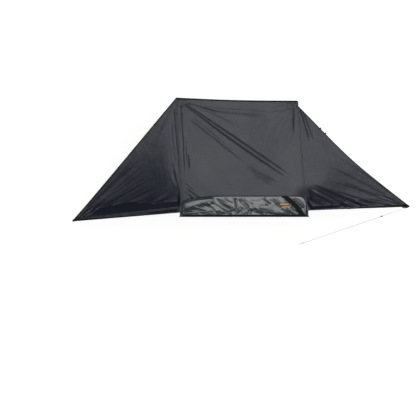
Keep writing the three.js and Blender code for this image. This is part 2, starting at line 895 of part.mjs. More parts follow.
function buildCanopy() {
  const leftSurface = sidePanel({
    mid: arms.left_mid,
    foot: leftFoot,
    midTip: leftTip,
    midShort: 0,
    beside: -seamGap / 2,
    endTip: armPoint(arms.left_end, leftEndReach + tipOverhang, hemOverhang).setZ(0),
    hubDepth: leftHubCornerDepth,
    bow: leftHemBow,
  });
  const rightSurface = sidePanel({
    mid: arms.right_mid,
    foot: rightFoot,
    midTip: rightTip,
    midShort: rightMidShort,
    beside: seamGap / 2,
    endTip: armPoint(arms.right_end, rightEndReach - rightTipShort).setZ(0),
    hubDepth: rightHubCornerDepth,
    bow: rightHemBow,
  });
  piece(awning, 'canopy_centre', sheet(centreSurface, 24, 22), 'canvas');
  // Across runs the other way on the left, so that the sheet's upper face stays up
  const leftSheet = sheet((across, out) => leftSurface(1 - across, out), 20, 20);
  piece(awning, 'canopy_left', leftSheet, 'canvas');
  piece(awning, 'canopy_right', sheet(rightSurface, 20, 20), 'canvas');
}

// Cover: the bag's flap, laid back over the canopy along the rail
function buildCover() {
  const shape = new THREE.Shape();
  const half = coverLength / 2;
  const back = coverGrooveDepth - grooveMouth / 2;
  shape.moveTo(-half + coverCorner, back);
  shape.lineTo(half, back);
  shape.lineTo(half, coverDepth - coverRightRise);
  shape.quadraticCurveTo(half, coverDepth, half - coverRightSlant, coverDepth);
  shape.lineTo(-half + coverLeftSlant, coverDepth);
  shape.quadraticCurveTo(-half, coverDepth, -half, coverDepth - coverLeftRise);
  shape.lineTo(-half, back + coverCorner);
  shape.absarc(-half + coverCorner, back + coverCorner, coverCorner, Math.PI, Math.PI * 1.5);
  const base = seatHeight + clothThickness / 2 + runningGap;
  const flap = upward(shape, coverThickness, arcSegments).translate(0, 0, base);
  const bead = rodX(coverBead, coverLength - coverLeftSlant - coverRightSlant, smallSides);
  const height = base + coverThickness / 2 + coverBead / 2;
  const edge = bead.translate(-half + coverLeftSlant, coverDepth, height);
  piece(awning, 'cover_flap', join(flap, edge), 'vinyl');
}

// Guy rope, from the right end arm's tip down to a hook

const guyEnd = new THREE.Vector3(hookX, hookY, hookZ);
const guyEye = armPoint(
  arms.right_end,
  rightEndReach - armWidth / 2,
  arms.right_end.side * (armWidth / 2 + guyEyeHole),
);
// The rope's end face leans with the rope, so it starts a quarter of its radius further off the eye
const guyPull = guyEnd.clone().sub(guyEye).normalize();
const guyStart = guyEye.clone().addScaledVector(guyPull, guyEyeRadius + fitGap + ropeRadius / 4);

class SaggingLine extends THREE.Curve {
  getPoint(share, target = new THREE.Vector3()) {
    target.lerpVectors(guyStart, guyEnd, share);
    target.z -= ropeSag * Math.sin(Math.PI * share);
    return target;
  }
}

const guyLine = new SaggingLine();

function ropeSection(radius, sides) {
  const shape = new THREE.Shape();
  for (let i = 0; i < sides; i += 1) {
    const turn = (i / sides) * Math.PI * 2;
    const [x, y] = [radius * Math.cos(turn), radius * Math.sin(turn)];
    if (i === 0) {
      shape.moveTo(x, y);
    } else {
      shape.lineTo(x, y);
    }
  }
  return shape;
}

// Turns +X to a direction, with +Z kept as near to up as it can be
function facing(direction) {
  const forward = direction.clone().normalize();
  const across = zAxis.clone().cross(forward).normalize();
  const up = forward.clone().cross(across);
  return new THREE.Matrix4().makeBasis(forward, across, up);
}

function buildGuy() {
  const rope = new THREE.ExtrudeGeometry(ropeSection(ropeRadius, ropeSides), {
    steps: ropeSteps,
    extrudePath: guyLine,
    bevelEnabled: false,
  });
  piece(awning, 'guy_rope', rope, 'cord');
  const length = guyLine.getLength();
  const place = sliderTravel / length;
  const outline = roundedRectangle(sliderLength, sliderWidth, sliderWidth / 3);
  const body = upward(outline, sliderThickness).translate(0, 0, -sliderThickness / 2);
  const bore = rodX(ropeRadius + runningGap, sliderLength * 2, smallSides).translate(-sliderLength, 0, 0);
  const slider = piece(awning, 'guy_slider', cut(body, bore), 'moulded');
  slider.applyMatrix4(facing(guyLine.getTangentAt(place)));
  slider.position.copy(guyLine.getPointAt(place));
  const end = guyLine.getTangentAt(1);
  const hook = piece(awning, 'guy_hook', hookShape(), 'zinc');
  hook.applyMatrix4(facing(end));
  hook.position.copy(guyEnd).addScaledVector(end, fitGap);
}

// An eye, a shank and an open bend, bent from one wire along +X
function hookShape() {
  const eyeTube = new THREE.TorusGeometry(hookEyeRadius, hookWire, ropeSides, smallSides);
  const eyeX = hookEyeRadius + hookWire;
  const shankStart = eyeX * 2 - hookWire;
  const bendX = shankStart + hookShank;
  const wire = new THREE.Path();
  wire.moveTo(shankStart, 0);
  wire.lineTo(bendX, 0);
  wire.absarc(bendX, hookBend, hookBend, -Math.PI / 2, Math.PI * 0.6);
  const points = wire.getSpacedPoints(smallSides).map((p) => new THREE.Vector3(p.x, p.y, 0));
  const bend = new THREE.ExtrudeGeometry(ropeSection(hookWire, ropeSides), {
    steps: smallSides,
    extrudePath: new THREE.CatmullRomCurve3(points),
    bevelEnabled: false,
  });
  return join(eyeTube.translate(eyeX, 0, 0), bend);
}

buildRail();
buildEndCap('rail_cap_left', -1);
buildEndCap('rail_cap_right', 1);
buildHub('hub_left', -1, arms.left_mid, arms.left_end);
buildHub('hub_right', 1, arms.right_mid, arms.right_end);
for (const [name, arm] of Object.entries(arms)) {
  buildPivotBolt(`${name}_pivot_bolt`, arm);
  buildArm(name, arm);
}
buildCanopy();
buildCover();
buildGuy();

export default awning;
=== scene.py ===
"""Vehicle side awning, opened out on its four arms, with its cover laid back along the rail.

Metres, +Z up. The origin is the middle of the rail's back face, +X runs along the rail, and +Y points
away from the vehicle. The script dresses the frame with cloth, cover, trim, rope and finishes.
"""

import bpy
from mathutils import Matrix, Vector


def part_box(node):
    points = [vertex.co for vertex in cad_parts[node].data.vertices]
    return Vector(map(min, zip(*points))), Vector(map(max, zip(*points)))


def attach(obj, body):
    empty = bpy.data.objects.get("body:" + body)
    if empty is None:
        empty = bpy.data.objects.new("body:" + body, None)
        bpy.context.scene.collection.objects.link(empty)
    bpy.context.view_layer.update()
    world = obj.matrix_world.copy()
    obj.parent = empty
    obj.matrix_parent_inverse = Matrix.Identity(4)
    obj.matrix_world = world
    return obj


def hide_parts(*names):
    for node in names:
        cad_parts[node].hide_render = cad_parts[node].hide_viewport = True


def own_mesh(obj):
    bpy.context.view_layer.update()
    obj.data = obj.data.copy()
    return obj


bl_info = {
    "name": "Vehicle Side Awning",
    "version": (1, 0, 0),
    "blender": (4, 5, 0),
    "location": "View3D > Sidebar > Awning",
    "description": "Dresses the frame of a 180 degree side awning with cloth, cover, trim, rope and finishes",
    "category": "Object",
}

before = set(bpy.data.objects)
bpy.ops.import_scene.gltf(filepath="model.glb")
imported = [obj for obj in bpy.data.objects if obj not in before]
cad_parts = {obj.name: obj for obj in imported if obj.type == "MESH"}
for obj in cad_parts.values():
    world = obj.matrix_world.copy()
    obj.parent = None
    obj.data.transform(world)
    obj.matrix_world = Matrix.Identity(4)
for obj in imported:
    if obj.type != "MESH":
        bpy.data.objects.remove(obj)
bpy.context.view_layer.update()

import math

import bmesh
import bpy
import numpy as np
from bpy.props import FloatProperty, FloatVectorProperty, IntProperty, PointerProperty
from mathutils import Matrix, Vector, noise

ARM_NAMES = ("left_end", "left_mid", "right_mid", "right_end")
UP = Vector((0, 0, 1))


# Values that a user would change

class StageValues(bpy.types.PropertyGroup):
    """Camera, lamp and floor"""

    image_width: FloatProperty(
        name="Width in view", description="Width that the picture takes in", default=7.298, unit="LENGTH")
    distance: FloatProperty(
        name="Camera height", description="Camera's height over the cloth", default=26.0, unit="LENGTH")
    aim: FloatVectorProperty(
        name="Aim", description="Point under the camera", default=(-0.635, 0.158, 0.04), subtype="XYZ")
    lamp_power: FloatProperty(
        name="Lamp power", description="Power of the overhead lamp", default=350.0, unit="POWER")
    lamp_size: FloatVectorProperty(
        name="Lamp size", description="Sides of the overhead lamp", default=(6.6, 3.9), size=2)
    lamp_place: FloatVectorProperty(
        name="Lamp place", description="Middle of the overhead lamp", default=(1.05, 1.75, 7.0), subtype="XYZ")
    fill_power: FloatProperty(
        name="Side power", description="Power of each lamp at the side", default=190.0, unit="POWER")
    sky: FloatProperty(
        name="Sky", description="Strength of the plain grey surroundings", default=0.18, min=0.0)
    floor_height: FloatProperty(
        name="Floor height", description="Height of the floor", default=-1.78, unit="LENGTH")


class CanopyValues(bpy.types.PropertyGroup):
    """Cut and hang of the three panels"""

    thickness: FloatProperty(
        name="Cloth", description="Thickness of the cloth", default=0.0012, unit="LENGTH")
    groove: FloatProperty(
        name="Groove", description="Distance of the cloth's groove from the rail's back", default=0.022,
        unit="LENGTH")
    left_foot: FloatProperty(
        name="Left seam foot", description="Left seam's foot beyond its arm's pivot", default=0.018,
        unit="LENGTH")
    right_foot: FloatProperty(
        name="Right seam foot", description="Right seam's foot beyond its arm's pivot", default=0.033,
        unit="LENGTH")
    tip_overhang: FloatProperty(
        name="Tip overhang", description="Cloth past an arm's tip", default=0.012, unit="LENGTH")
    sag: FloatProperty(
        name="Sag", description="Depth of the centre panel between its arms", default=0.08, unit="LENGTH")
    side_sag: FloatProperty(
        name="Side sag", description="Depth of a side panel between its arms", default=0.15, unit="LENGTH")
    hem_bow: FloatProperty(
        name="Hem bow", description="How far the front hem is drawn in", default=0.014, unit="LENGTH")
    left_bow: FloatProperty(
        name="Left hem bow", description="How far the left hem is drawn in", default=0.004, unit="LENGTH")
    right_bow: FloatProperty(
        name="Right hem bow", description="How far the right hem is drawn in", default=0.068, unit="LENGTH")
    left_hub_depth: FloatProperty(
        name="Left hub corner", description="Left panel's corner from the rail's back", default=0.078,
        unit="LENGTH")
    right_hub_depth: FloatProperty(
        name="Right hub corner", description="Right panel's corner from the rail's back", default=0.112,
        unit="LENGTH")
    slack_depth: FloatProperty(
        name="Slack", description="Depth of the slack round the right middle arm's foot", default=0.044,
        unit="LENGTH")
    slack_place: FloatVectorProperty(
        name="Slack place", description="Middle of that slack", default=(1.07, 0.31), size=2)
    slack_size: FloatVectorProperty(
        name="Slack size", description="Reach of that slack along the rail and away from it",
        default=(0.12, 0.15), size=2)
    dent: FloatProperty(
        name="Dent", description="How far the cover presses the centre panel down", default=0.009,
        unit="LENGTH")
    hub_flat: FloatProperty(
        name="Level part", description="Length over the hub that stays level", default=0.205, unit="LENGTH")
    arm_clear: FloatProperty(
        name="Arm cover", description="Width along the middle arms that stays level", default=0.046, unit="LENGTH")
    end_clear: FloatProperty(
        name="End arm cover", description="Width along the end arms that stays level", default=0.027,
        unit="LENGTH")
    mid_short: FloatProperty(
        name="Right corner setback", description="Right panel's corner short of the arm's tip",
        default=0.085, unit="LENGTH")
    hem_width: FloatProperty(
        name="Hem", description="Width of the hems", default=0.024, unit="LENGTH")
    tape_width: FloatProperty(
        name="Seam tape", description="Width of the seam tapes", default=0.026, unit="LENGTH")
    columns: IntProperty(name="Columns", description="Faces across the centre panel", default=146, min=20)
    rows: IntProperty(name="Rows", description="Faces along the centre panel", default=130, min=20)
    shade: FloatVectorProperty(
        name="Cloth colour", description="Colour of the cloth", default=(0.0068, 0.0080, 0.0150),
        subtype="COLOR")


class CoverValues(bpy.types.PropertyGroup):
    """Flap of the travel cover"""

    length: FloatProperty(
        name="Length", description="Length along the rail", default=2.18, unit="LENGTH")
    back: FloatProperty(
        name="Hinge line", description="Distance of its near edge from the rail's back", default=0.0065,
        unit="LENGTH")
    depth: FloatProperty(
        name="Depth", description="Distance of its far edge from the rail's back", default=0.364,
        unit="LENGTH")
    corner: FloatProperty(
        name="Near corner", description="Radius of the near left corner", default=0.06, unit="LENGTH")
    left_slant: FloatVectorProperty(
        name="Far left corner", description="How far that corner is cut along and across",
        default=(0.85, 0.136), size=2)
    right_slant: FloatVectorProperty(
        name="Far right corner", description="How far that corner is cut along and across",
        default=(0.125, 0.25), size=2)
    thickness: FloatProperty(
        name="Sheet", description="Thickness of the coated sheet", default=0.0014, unit="LENGTH")
    puff: FloatProperty(
        name="Puff", description="How high the sheet stands between its edges", default=0.011,
        unit="LENGTH")
    crumple: FloatProperty(
        name="Crumple", description="Height of its crumples", default=0.0095, unit="LENGTH")
    patch_place: FloatVectorProperty(
        name="Patch place", description="Middle of the bare patch", default=(0.704, 0.224), size=2)
    patch_size: FloatVectorProperty(
        name="Patch size", description="Sides of the bare patch", default=(0.165, 0.056), size=2)
    shade: FloatVectorProperty(
        name="Cover colour", description="Colour of the coated sheet", default=(0.017, 0.0225, 0.026),
        subtype="COLOR")
    patch_shade: FloatVectorProperty(
        name="Patch colour", description="Colour of the bare patch", default=(0.62, 0.20, 0.055),
        subtype="COLOR")


class GuyValues(bpy.types.PropertyGroup):
    """Guy rope"""

    diameter: FloatProperty(
        name="Diameter", description="Thickness of the rope", default=0.004, unit="LENGTH")
    end: FloatVectorProperty(
        name="End", description="Where the rope meets its hook", default=(1.04, -0.48, -0.5), subtype="XYZ")
    sag: FloatProperty(
        name="Sag", description="How far its middle hangs below a straight line", default=0.012,
        unit="LENGTH")
    shade: FloatVectorProperty(
        name="Rope colour", description="Colour of the rope", default=(0.034, 0.034, 0.036), subtype="COLOR")


# The frame's arms

def middle(node):
    low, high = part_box(node)
    return (low + high) / 2


class Arm:
    """One arm: its pivot, its level, the way it points when open and how far it reaches"""

    def __init__(self, name):
        tube = middle(f"{name}_arm")
        self.name = name
        self.level = tube.z
        self.pivot = middle(f"{name}_pivot_bolt")
        self.pivot.z = tube.z
        self.way = (tube - self.pivot).normalized()
        self.aside = UP.cross(self.way)
        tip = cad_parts[f"{name}_tip"].data.vertices
        self.reach = max((vertex.co - self.pivot).dot(self.way) for vertex in tip)

    def point(self, along, across=0.0, up=0.0):
        return self.pivot + self.way * along + self.aside * across + UP * up

    def matrix(self, along, across=0.0, up=0.0):
        """Turns +X to the arm's way, at a point beside the arm"""
        turn = Matrix((self.way, self.aside, UP)).transposed().to_4x4()
        return Matrix.Translation(self.point(along, across, up)) @ turn


ARMS = {name: Arm(name) for name in ARM_NAMES}
ARM_WIDTH = 0.030
ARM_HEIGHT = 0.022
KNUCKLE_LENGTH = 0.042
TIP_LENGTH = 0.060


# Numbers as arrays

def lerp(a, b, share):
    return a + (b - a) * share


def ramp(value, start, end):
    """0 at start, 1 at end, and smooth between them"""
    share = np.clip((value - start) / (end - start), 0.0, 1.0)
    return share * share * (3 - 2 * share)


def crease(points, start, end, width, sharp, bow=0.0, fades=(0.06, 0.3)):
    """1 on a fold's line and 0 away from it: a sharp tuck where sharp is 1, and rounder above that"""
    along = end - start
    length = np.hypot(*along)
    way = along / length
    offset = points - start
    share = offset @ way / length
    inside = np.clip(share, 0.0, 1.0)
    aside = offset @ np.array((-way[1], way[0])) - bow * 4 * inside * (1 - inside)
    ends = ramp(share, 0.0, fades[0]) * ramp(share, 1.0, 1 - fades[1])
    return ends * np.exp(-np.abs(aside / width) ** sharp)


def lap(points, start, end, before, after):
    """1 on a line, falling to 0 over one width on its right side and over another on its left"""
    along = end - start
    length = np.hypot(*along)
    way = along / length
    offset = points - start
    share = offset @ way / length
    aside = offset @ np.array((-way[1], way[0]))
    ends = ramp(share, -0.05, 0.15) * ramp(share, 1.05, 0.80)
    return ends * np.clip(np.minimum(1 + aside / before, 1 - aside / after), 0.0, 1.0)


def rumple(points, size, seed, octaves=3):
    """Soft uneven waves of about that size, from -1 to 1"""
    spots = np.column_stack((points / size, np.full(len(points), seed)))
    return np.array([noise.fractal(Vector(spot), 0.9, 2.1, octaves) for spot in spots])


def fan(points, apex, count, reach, seed):
    """Tension folds that spread from a corner, from -1 to 1"""
    offset = points - apex
    far = np.hypot(offset[:, 0], offset[:, 1])
    turn = np.arctan2(offset[:, 1], offset[:, 0])
    spots = np.column_stack((turn * count, far / reach, np.full(len(points), seed)))
    folds = np.array([noise.noise(Vector(spot)) for spot in spots]) * 2
    strength = ramp(far, 0.02 * reach, 0.3 * reach) * ramp(far, reach, 0.35 * reach)
    return folds * strength


# The canopy's shape

# Folds of each panel: from (across, out), to (across, out), height, width, sharpness, bow
CENTRE_FOLDS = (
    ((0.015, 0.99), (0.99, 0.272), -0.0085, 0.0070, 1.0, 0.018),
    ((0.012, 0.985), (0.93, 0.278), -0.0110, 0.0080, 1.0, -0.024),
    ((0.013, 0.987), (0.95, 0.278), 0.0050, 0.026, 2.2, -0.004),
    ((0.10, 0.820), (0.56, 0.425), -0.0050, 0.0080, 1.0, 0.006),
    ((0.13, 0.830), (0.50, 0.500), 0.0040, 0.020, 1.6, 0.0),
    ((0.06, 0.975), (0.80, 0.870), -0.0060, 0.016, 1.2, -0.070),
    ((0.20, 0.935), (0.98, 0.930), -0.0030, 0.018, 1.4, -0.055),
    ((0.10, 0.955), (0.62, 0.700), 0.0040, 0.022, 1.6, 0.040),
    ((0.55, 0.425), (0.80, 0.300), 0.0040, 0.012, 1.4, 0.0),
    ((0.57, 0.395), (0.79, 0.280), -0.0050, 0.010, 1.1, 0.0),
    ((0.60, 0.355), (0.77, 0.270), 0.0035, 0.011, 1.4, 0.0),
    ((0.61, 0.335), (0.75, 0.260), -0.0040, 0.009, 1.1, 0.0),
    ((0.972, 0.99), (0.950, 0.700), -0.0080, 0.010, 1.0, 0.0),
    ((0.945, 0.985), (0.925, 0.600), 0.0040, 0.018, 1.6, 0.010),
    ((0.034, 0.970), (0.030, 0.280), -0.0070, 0.0090, 1.0, 0.004),
    ((0.070, 0.520), (0.074, 0.380), -0.0090, 0.0090, 1.0, 0.0),
    ((0.055, 0.640), (0.052, 0.300), -0.0045, 0.0090, 1.1, 0.0),
    ((0.30, 0.330), (0.48, 0.170), 0.0020, 0.020, 1.6, 0.0),
    ((0.030, 0.235), (0.170, 0.130), -0.0090, 0.010, 1.0, 0.0),
    ((0.030, 0.200), (0.120, 0.110), -0.0085, 0.010, 1.0, 0.0),
    ((0.035, 0.270), (0.110, 0.200), -0.0060, 0.009, 1.0, 0.0),
    ((0.16, 0.990), (0.16, 0.020), -0.0010, 0.008, 1.2, 0.0),
    ((0.49, 0.990), (0.49, 0.020), -0.0010, 0.008, 1.2, 0.0),
    ((0.79, 0.990), (0.79, 0.020), -0.0010, 0.008, 1.2, 0.0),
)
LEFT_FOLDS = (
    ((0.99, 0.990), (0.34, 0.900), 0.0070, 0.018, 1.5, 0.0),
    ((0.99, 0.975), (0.38, 0.840), -0.0090, 0.013, 1.0, 0.0),
    ((0.99, 0.960), (0.36, 0.760), 0.0090, 0.018, 1.5, 0.0),
    ((0.99, 0.945), (0.40, 0.700), -0.0110, 0.013, 1.0, 0.0),
    ((0.98, 0.925), (0.38, 0.625), 0.0110, 0.018, 1.5, 0.0),
    ((0.98, 0.900), (0.42, 0.570), -0.0125, 0.013, 1.0, 0.0),
    ((0.98, 0.865), (0.40, 0.500), 0.0125, 0.018, 1.5, 0.0),
    ((0.98, 0.815), (0.38, 0.430), -0.0130, 0.014, 1.0, 0.0),
    ((0.98, 0.750), (0.34, 0.345), 0.0130, 0.018, 1.5, -0.03),
    ((0.98, 0.680), (0.30, 0.300), -0.0130, 0.014, 1.0, -0.03),
    ((0.98, 0.590), (0.22, 0.240), 0.0120, 0.017, 1.5, -0.03),
    ((0.97, 0.500), (0.20, 0.200), -0.0110, 0.014, 1.0, -0.02),
    ((0.97, 0.400), (0.30, 0.170), 0.0090, 0.016, 1.5, 0.0),
    ((0.97, 0.310), (0.36, 0.130), -0.0090, 0.013, 1.0, 0.0),
    ((0.032, 0.950), (0.030, 0.290), -0.0060, 0.0085, 1.0, 0.0),
    ((0.075, 0.880), (0.100, 0.420), -0.0025, 0.012, 1.3, 0.0),
    ((0.110, 0.500), (0.045, 0.150), 0.0060, 0.011, 1.4, 0.0),
    ((0.150, 0.440), (0.070, 0.120), -0.0080, 0.010, 1.0, 0.0),
    ((0.210, 0.390), (0.110, 0.110), 0.0060, 0.012, 1.4, 0.0),
)
RIGHT_FOLDS = (
    ((0.985, 0.975), (0.36, 0.890), -0.0050, 0.020, 1.3, 0.0),
    ((0.985, 0.965), (0.30, 0.660), -0.0060, 0.016, 1.2, 0.0),
    ((0.985, 0.955), (0.50, 0.640), 0.0050, 0.020, 1.6, 0.0),
    ((0.985, 0.940), (0.52, 0.590), -0.0105, 0.0125, 1.0, 0.01),
    ((0.985, 0.920), (0.42, 0.530), 0.0060, 0.020, 1.6, 0.0),
    ((0.985, 0.860), (0.66, 0.480), -0.0095, 0.0120, 1.0, 0.01),
    ((0.985, 0.790), (0.50, 0.440), 0.0050, 0.018, 1.6, 0.0),
    ((0.985, 0.640), (0.12, 0.310), -0.0140, 0.0125, 1.0, 0.012),
    ((0.985, 0.560), (0.09, 0.290), 0.0120, 0.013, 1.5, 0.010),
    ((0.985, 0.480), (0.12, 0.265), -0.0140, 0.0125, 1.0, 0.010),
    ((0.985, 0.390), (0.14, 0.240), 0.0110, 0.013, 1.5, 0.0),
    ((0.985, 0.320), (0.12, 0.205), -0.0110, 0.0120, 1.0, 0.0),
    ((0.970, 0.240), (0.18, 0.170), 0.0090, 0.013, 1.5, 0.0),
    ((0.020, 0.995), (0.130, 0.740), -0.0085, 0.0075, 1.0, 0.0),
    ((0.060, 0.985), (0.180, 0.800), -0.0050, 0.0075, 1.0, 0.0),
    ((0.040, 0.990), (0.160, 0.760), 0.0030, 0.011, 1.5, 0.0),
    ((0.012, 0.930), (0.012, 0.300), -0.0060, 0.0090, 1.0, 0.0),
)


class Canopy:
    """Where each panel lies, for shares from 0 to 1 across it and out along it"""

    def __init__(self, values):
        self.values = values
        self.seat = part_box("canopy_centre")[1].z - 0.00075
        left, right = ARMS["left_mid"], ARMS["right_mid"]
        self.left_tip = np.array(left.point(left.reach + values.tip_overhang))[:2]
        self.right_tip = np.array(right.point(right.reach + values.tip_overhang))[:2]
        self.left_foot = np.array((left.pivot.x - values.left_foot, values.groove))
        self.right_foot = np.array((right.pivot.x + values.right_foot, values.groove))
        self.rail_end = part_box("mounting_rail")[1].x

    def past_hub(self, out):
        flat = self.values.hub_flat / ARMS["left_mid"].reach
        return np.clip((out - flat) / (1 - flat), 0.0, 1.0)

    def level(self, arm, out):
        tip = arm.level + ARM_HEIGHT / 2 + 0.002
        return lerp(self.seat, tip, self.past_hub(out))

    def clear(self, across, width):
        """0 over the arms along both edges of a panel, and 1 half way between them"""
        edge = np.minimum(self.values.arm_clear / width, 0.4999)
        inner = np.clip((across - edge) / (1 - edge * 2), 0.0, 1.0)
        return np.sin(np.pi * inner) ** 2

    def hang(self, across, width, start, deep, end):
        """A side panel's dip across it: none up to start, all of it at deep, and less past end"""
        edge = np.minimum(self.values.arm_clear / width, 0.4999)
        last = 1 - np.minimum(self.values.end_clear / width, 0.4999)
        inner = np.clip((across - edge) / (last - edge), 0.0, 1.0)
        return ramp(inner, start, deep) * ramp(inner, 1.0, end)

    def hub_dip(self, across, out, width, lines):
        """The dip beside the hub, on the hub's side of a line between two shares"""
        line = lerp(lines[0], lines[1], across)
        fall = ramp(out, line + 0.04, line - 0.20) * ramp(out, lerp(0.085, 0.018, across), lerp(0.16, 0.07, across))
        edge = np.minimum(0.026 / width, 0.4999)
        last = 1 - np.minimum(self.values.end_clear / width, 0.4999)
        return fall * ramp(across, edge, edge + 0.22) * ramp(across, last, last - 0.14)

    def slack(self, point):
        """Depth of the slack cloth round the right middle arm's foot"""
        values = self.values
        spread = (point - np.array(values.slack_place)) / np.array(values.slack_size)
        return values.slack_depth * np.exp(-(spread ** 2).sum(axis=1))

    def over_arm(self, height, point, arm, out):
        """Keeps the cloth on top of an end arm, and lets it fall past the arm's outer side"""
        offset = point - np.array(arm.pivot)[:2]
        aside = offset @ np.array(arm.aside)[:2] * math.copysign(1.0, arm.aside.y * -1)
        inside = (offset @ np.array(arm.way)[:2] > 0.0) & (offset @ np.array(arm.way)[:2] < arm.reach)
        past = np.maximum(np.abs(aside) - ARM_WIDTH / 2 - 0.001, 0.0)
        slant = 0.14 * np.clip(ARM_WIDTH / 2 - aside, 0.0, ARM_WIDTH)
        top = arm.level + ARM_HEIGHT / 2 + 0.0022 + slant - np.minimum(past * past * 40, past * 0.8)
        lifted = (height + top + np.sqrt((height - top) ** 2 + 0.002 ** 2)) / 2
        height = np.where(inside & (height < top + 0.02), lifted, height)
        return height - 0.4 * np.maximum(aside - ARM_WIDTH / 2 - 0.001, 0.0) * ramp(out, 0.10, 0.20)

    def folded(self, points, plan, folds, spread):
        height = np.zeros(len(points))
        for start, end, high, width, sharp, bow in folds:
            ends = plan(np.array((start[0], end[0])), np.array((start[1], end[1])))
            height += high * crease(points, ends[0], ends[1], width, sharp, bow)
        return height * spread

    def centre_plan(self, across, out):
        across, out = across[:, None], out[:, None]
        left = lerp(self.left_foot, self.left_tip, out)
        right = lerp(self.right_foot, self.right_tip, out)
        point = lerp(left, right, across)
        point[:, 1] -= self.values.hem_bow * (np.sin(np.pi * across) * out * out)[:, 0]
        return point

    def centre(self, across, out):
        point = self.centre_plan(across, out)
        width = np.linalg.norm(self.centre_plan(across * 0, out) - self.centre_plan(across * 0 + 1, out), axis=1)
        clear = self.clear(across, width)
        past = self.past_hub(out)
        height = lerp(self.level(ARMS["left_mid"], out), self.level(ARMS["right_mid"], out), across)
        height -= self.values.sag * clear * np.sin(np.pi * past * 0.87)
        under_cover = ramp(point[:, 1], 0.05, 0.09) * ramp(point[:, 1], 0.30, 0.25)
        height -= self.values.dent * under_cover * ramp(np.abs(point[:, 0]), 1.0, 0.93)
        near_edge = np.minimum(across, 1 - across) * width
        off_hub = np.maximum(np.minimum(1, past * 3), ramp(near_edge, 0.08, 0.14))
        spread = ramp(near_edge, 0.012, 0.06) * off_hub * ramp(point[:, 1], 0.05, 0.15)
        height += self.folded(point, self.centre_plan, CENTRE_FOLDS, spread)
        height += 0.0020 * fan(point, self.left_tip, 9.0, 1.5, 3.0) * spread
        height += 0.0010 * fan(point, self.right_tip, 9.0, 1.1, 5.0) * spread
        height += 0.0022 * rumple(point, 0.16, 1.0) * spread - self.slack(point)
        return np.column_stack((point, height))

    def side(self, name):
        """The surface of the left or the right panel"""
        values = self.values
        mid, end = ARMS[f"{name}_mid"], ARMS[f"{name}_end"]
        left = name == "left"
        foot, tip = (self.left_foot, self.left_tip) if left else (self.right_foot, self.right_tip)
        depth = values.left_hub_depth if left else values.right_hub_depth
        bow = values.left_bow if left else values.right_bow
        folds = LEFT_FOLDS if left else RIGHT_FOLDS
        corner = end.point(end.reach + values.tip_overhang, 0.018) if left else end.point(end.reach - 0.010)
        corner = np.array(corner)[:2]
        hub = np.array((math.copysign(self.rail_end - 0.018, mid.pivot.x), depth))
        near_hub = (depth - foot[1]) / (tip[1] - foot[1])
        near_tip = 1 - (0 if left else values.mid_short) / np.linalg.norm(tip - foot)
        step = -0.002 if left else 0.002

        def plan(across, out):
            across, out = across[:, None], out[:, None]
            near = lerp(foot, tip, lerp(near_hub, near_tip, out)) + np.array((step / 2, 0))
            point = lerp(near, lerp(hub, corner, out), across)
            inward = hub - point
            inward /= np.maximum(np.linalg.norm(inward, axis=1), 1e-6)[:, None]
            return point + inward * bow * np.sin(np.pi * across) * out * out

        def surface(across, out):
            point = plan(across, out)
            width = np.linalg.norm(plan(across * 0, out) - plan(across * 0 + 1, out), axis=1)
            past = self.past_hub(out)
            near = self.level(mid, lerp(near_hub, near_tip, out))
            height = lerp(near, self.level(mid, out), across)
            dip = self.hang(across, width, 0.13, 0.84, 0.88) if left else self.hang(across, width, 0.34, 0.8, 0.86)
            height -= values.side_sag * (1 if left else 0.42) * dip * np.sin(np.pi * past * 0.87)
            height -= 0.085 * self.hub_dip(across, out, width, (0.34, 0.34) if left else (0.243, 0.360))
            near_edge = np.minimum(across, 1 - across) * width
            spread = ramp(near_edge, 0.012, 0.06) * np.minimum(1, past * 4)
            height += self.folded(point, plan, folds, spread)
            height += (0.005 if left else 0.002) * fan(point, corner, 16.0, 2.1, 7.0 if left else 11.0) * spread
            height += 0.0012 * fan(point, tip, 9.0, 1.3, 13.0) * spread
            height += 0.0022 * rumple(point, 0.16, 17.0 if left else 19.0) * spread - self.slack(point)
            return np.column_stack((point, self.over_arm(height, point, end, out)))

        return plan, surface


# Meshes

def place_vertices(mesh, points):
    mesh.vertices.foreach_set("co", np.asarray(points, np.float32).ravel())
    mesh.update()


def vertices_of(mesh):
    points = np.empty(len(mesh.vertices) * 3, np.float32)
    mesh.vertices.foreach_get("co", points)
    return points.reshape(-1, 3).astype(float)


def lay_uv(mesh, values):
    layer = mesh.uv_layers.get("Weave") or mesh.uv_layers.new(name="Weave")
    corners = np.empty(len(mesh.loops), np.int32)
    mesh.loops.foreach_get("vertex_index", corners)
    layer.data.foreach_set("uv", np.asarray(values, np.float32)[corners].ravel())


def finished(name, mesh, material, body):
    """A piece at the origin, riding on a body, with its finish"""
    piece = bpy.data.objects.new(name, mesh)
    bpy.context.scene.collection.objects.link(piece)
    mesh.materials.append(material)
    mesh.shade_smooth()
    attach(piece, body)
    return piece


def mesh_of(name, bm):
    mesh = bpy.data.meshes.new(name)
    bm.to_mesh(mesh)
    bm.free()
    return mesh


def grid_mesh(name, columns, rows):
    """A flat grid, with the shares from 0 to 1 of its vertices"""
    bm = bmesh.new()
    bmesh.ops.create_grid(bm, x_segments=columns, y_segments=rows, size=1.0)
    mesh = mesh_of(name, bm)
    flat = vertices_of(mesh)
    low, high = flat.min(axis=0), flat.max(axis=0)
    return mesh, (flat[:, 0] - low[0]) / (high[0] - low[0]), (flat[:, 1] - low[1]) / (high[1] - low[1])


